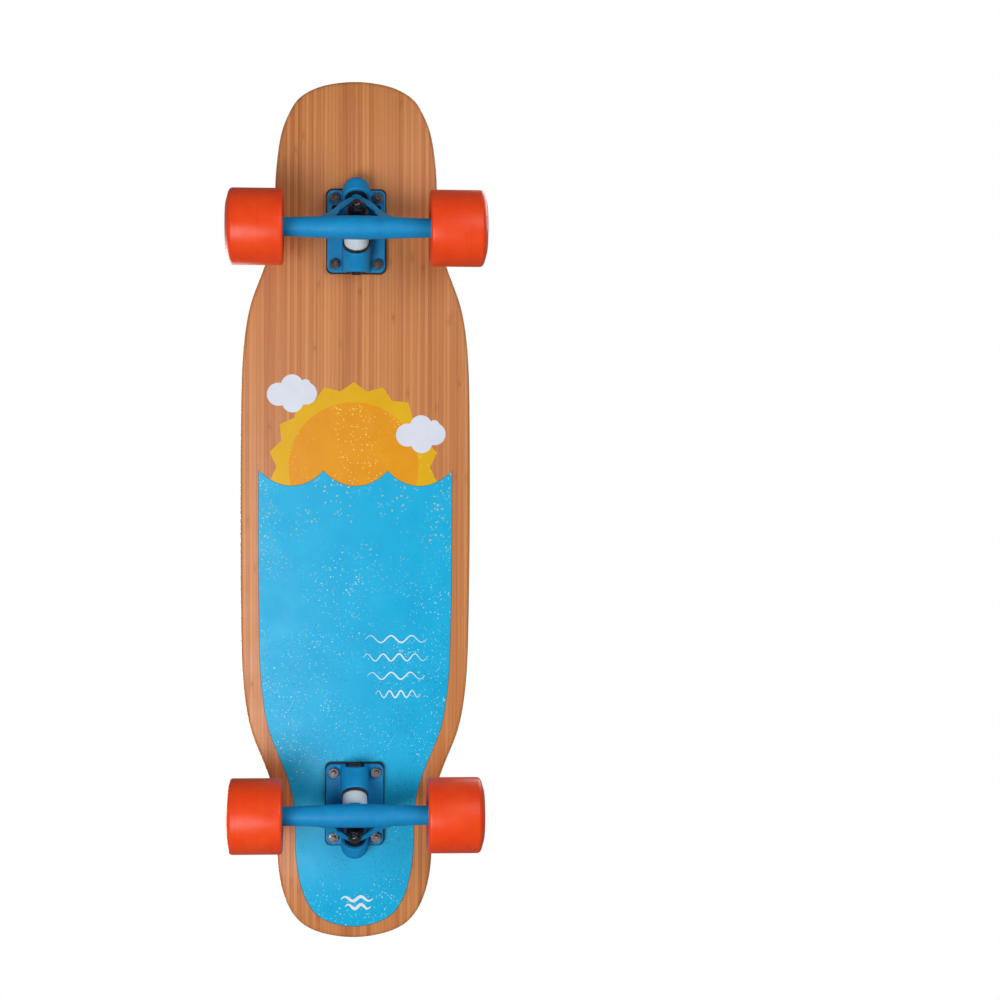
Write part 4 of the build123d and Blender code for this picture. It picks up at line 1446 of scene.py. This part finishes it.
# ------------------------------------------------------------------ studio
@dataclass
class Studio:
    """Pale floor, soft lights and the camera below the board."""

    form: BoardForm
    floor_half: float = 2.2
    fade: Point = (0.75, 2.1)
    glow: float = 0.2
    distance: float = 2.3
    stand: Point = (0.1277, -0.0177)
    aim: Point = (0.0141, 0.1407)
    lens: float = 85.2
    roll: float = 0.0058

    def floor(self) -> None:
        """Pale floor that is seen from above only, so that it doesn't hide the underside."""
        bm = bmesh.new()
        bmesh.ops.create_grid(bm, x_segments=8, y_segments=8, size=self.floor_half)
        mesh = bpy.data.meshes.new("floor")
        bm.to_mesh(mesh)
        bm.free()
        material = bpy.data.materials.new("pale floor")
        material.use_nodes = True
        tree = material.node_tree
        mix = Mixture(tree, tree.nodes["Principled BSDF"])
        cloudy = mix.spread(mix.noise(mix.place(), 3.0, 4.0), 0.3, 0.7, 0.0, 1.0)
        pale = mix.blend(cloudy, rgb(236, 236, 237), rgb(231, 231, 233))
        mix.feed(mix.shader.inputs["Base Color"], pale)
        mix.shader.inputs["Roughness"].default_value = 0.8
        x, y, _ = mix.parts(mix.place())
        gone = mix.spread(mix.reach(x, y), *self.fade, 0.0, 1.0)
        either = mix.add("MixShader")
        mix.feed(either.inputs["Fac"], mix.sum("MAXIMUM", mix.add("NewGeometry").outputs["Backfacing"], gone))
        mix.feed(either.inputs[1], mix.shader.outputs[0])
        mix.feed(either.inputs[2], mix.add("BsdfTransparent").outputs[0])
        mix.feed(tree.nodes["Material Output"].inputs["Surface"], either.outputs[0])
        mesh.materials.append(material)
        floor = bpy.data.objects.new("floor", mesh)
        bpy.context.scene.collection.objects.link(floor)
        for ray in ("shadow", "diffuse", "glossy", "transmission"):
            setattr(floor, "visible_" + ray, False)

    def lamp(self, name: str, place: tuple, size: float, power: float) -> None:
        """Soft square light aimed at the board.

        Args:
            name: the light's name.
            place: where it stands.
            size: length of its side.
            power: watts.
        """
        light = bpy.data.lights.new(name, "AREA")
        light.shape = "SQUARE"
        light.size = size
        light.energy = power
        lamp = bpy.data.objects.new(name, light)
        bpy.context.scene.collection.objects.link(lamp)
        lamp.location = place
        lamp.rotation_mode = "QUATERNION"
        lamp.rotation_quaternion = (Vector((0, 0, self.form.base)) - Vector(place)).to_track_quat("-Z", "Y")

    def world(self) -> None:
        """White surroundings, dimmer as a light than as a backdrop."""
        world = bpy.data.worlds.new("studio")
        bpy.context.scene.world = world
        world.use_nodes = True
        background = world.node_tree.nodes["Background"]
        background.inputs["Color"].default_value = (1, 1, 1, 1)
        mix = Mixture(world.node_tree)
        seen = mix.add("LightPath").outputs["Is Camera Ray"]
        mix.feed(background.inputs["Strength"], mix.spread(seen, 0.0, 1.0, self.glow, 1.0))

    def camera(self) -> None:
        """Long lens below the board, with the nose up and the board left of the middle."""
        data = bpy.data.cameras.new("camera")
        data.sensor_width = 36.0
        data.lens = self.lens
        data.clip_end = 50.0
        camera = bpy.data.objects.new("camera", data)
        bpy.context.scene.collection.objects.link(camera)
        place = Vector((*self.stand, self.form.base - self.distance))
        forward = (Vector((*self.aim, self.form.base)) - place).normalized()
        level = forward.cross(Vector((1, 0, 0))).normalized()
        right = level * math.cos(self.roll) + level.cross(forward) * math.sin(self.roll)
        turn = Matrix((right, right.cross(forward), -forward)).transposed()
        camera.matrix_world = Matrix.Translation(place) @ turn.to_4x4()
        bpy.context.scene.camera = camera

    def build(self) -> None:
        """Set the studio up."""
        self.floor()
        self.world()
        self.lamp("key below", (-0.7, -0.9, -2.3), 1.3, 45.0)
        self.lamp("fill below", (0.9, 1.2, -2.0), 1.5, 20.0)
        self.lamp("key above", (-0.6, -1.2, 2.4), 1.5, 50.0)
        self.lamp("rim above", (1.2, 1.2, 1.8), 1.4, 22.0)
        self.camera()
        bpy.context.scene.view_settings.view_transform = "Standard"


def main() -> None:
    """Build the board from the deck down."""
    logging.basicConfig(level=logging.INFO, format="%(message)s")
    form = BoardForm()
    Deck(form).build()
    UndersidePrint(form, Side.UNDER, "bamboo").build()
    refinish("grip_sheet", GRIP)
    grip_top = form.thickness + GRIP_THICKNESS
    Badge(form, Side.TOP, "badge", grip_top).build()
    TopMark(form, Side.TOP, "grip", grip_top).build()
    machined("mounting_bolts", BLACK_STEEL, DECK, 0.2)
    machined("mounting_nuts", BLACK_STEEL, DECK, 0.25)
    for end in ("front", "rear"):
        Truck(end).build()
        for hand in ("left", "right"):
            Wheel(f"{end}_{hand}").build()
    Studio(form).build()


if __name__ == "__main__":
    main()
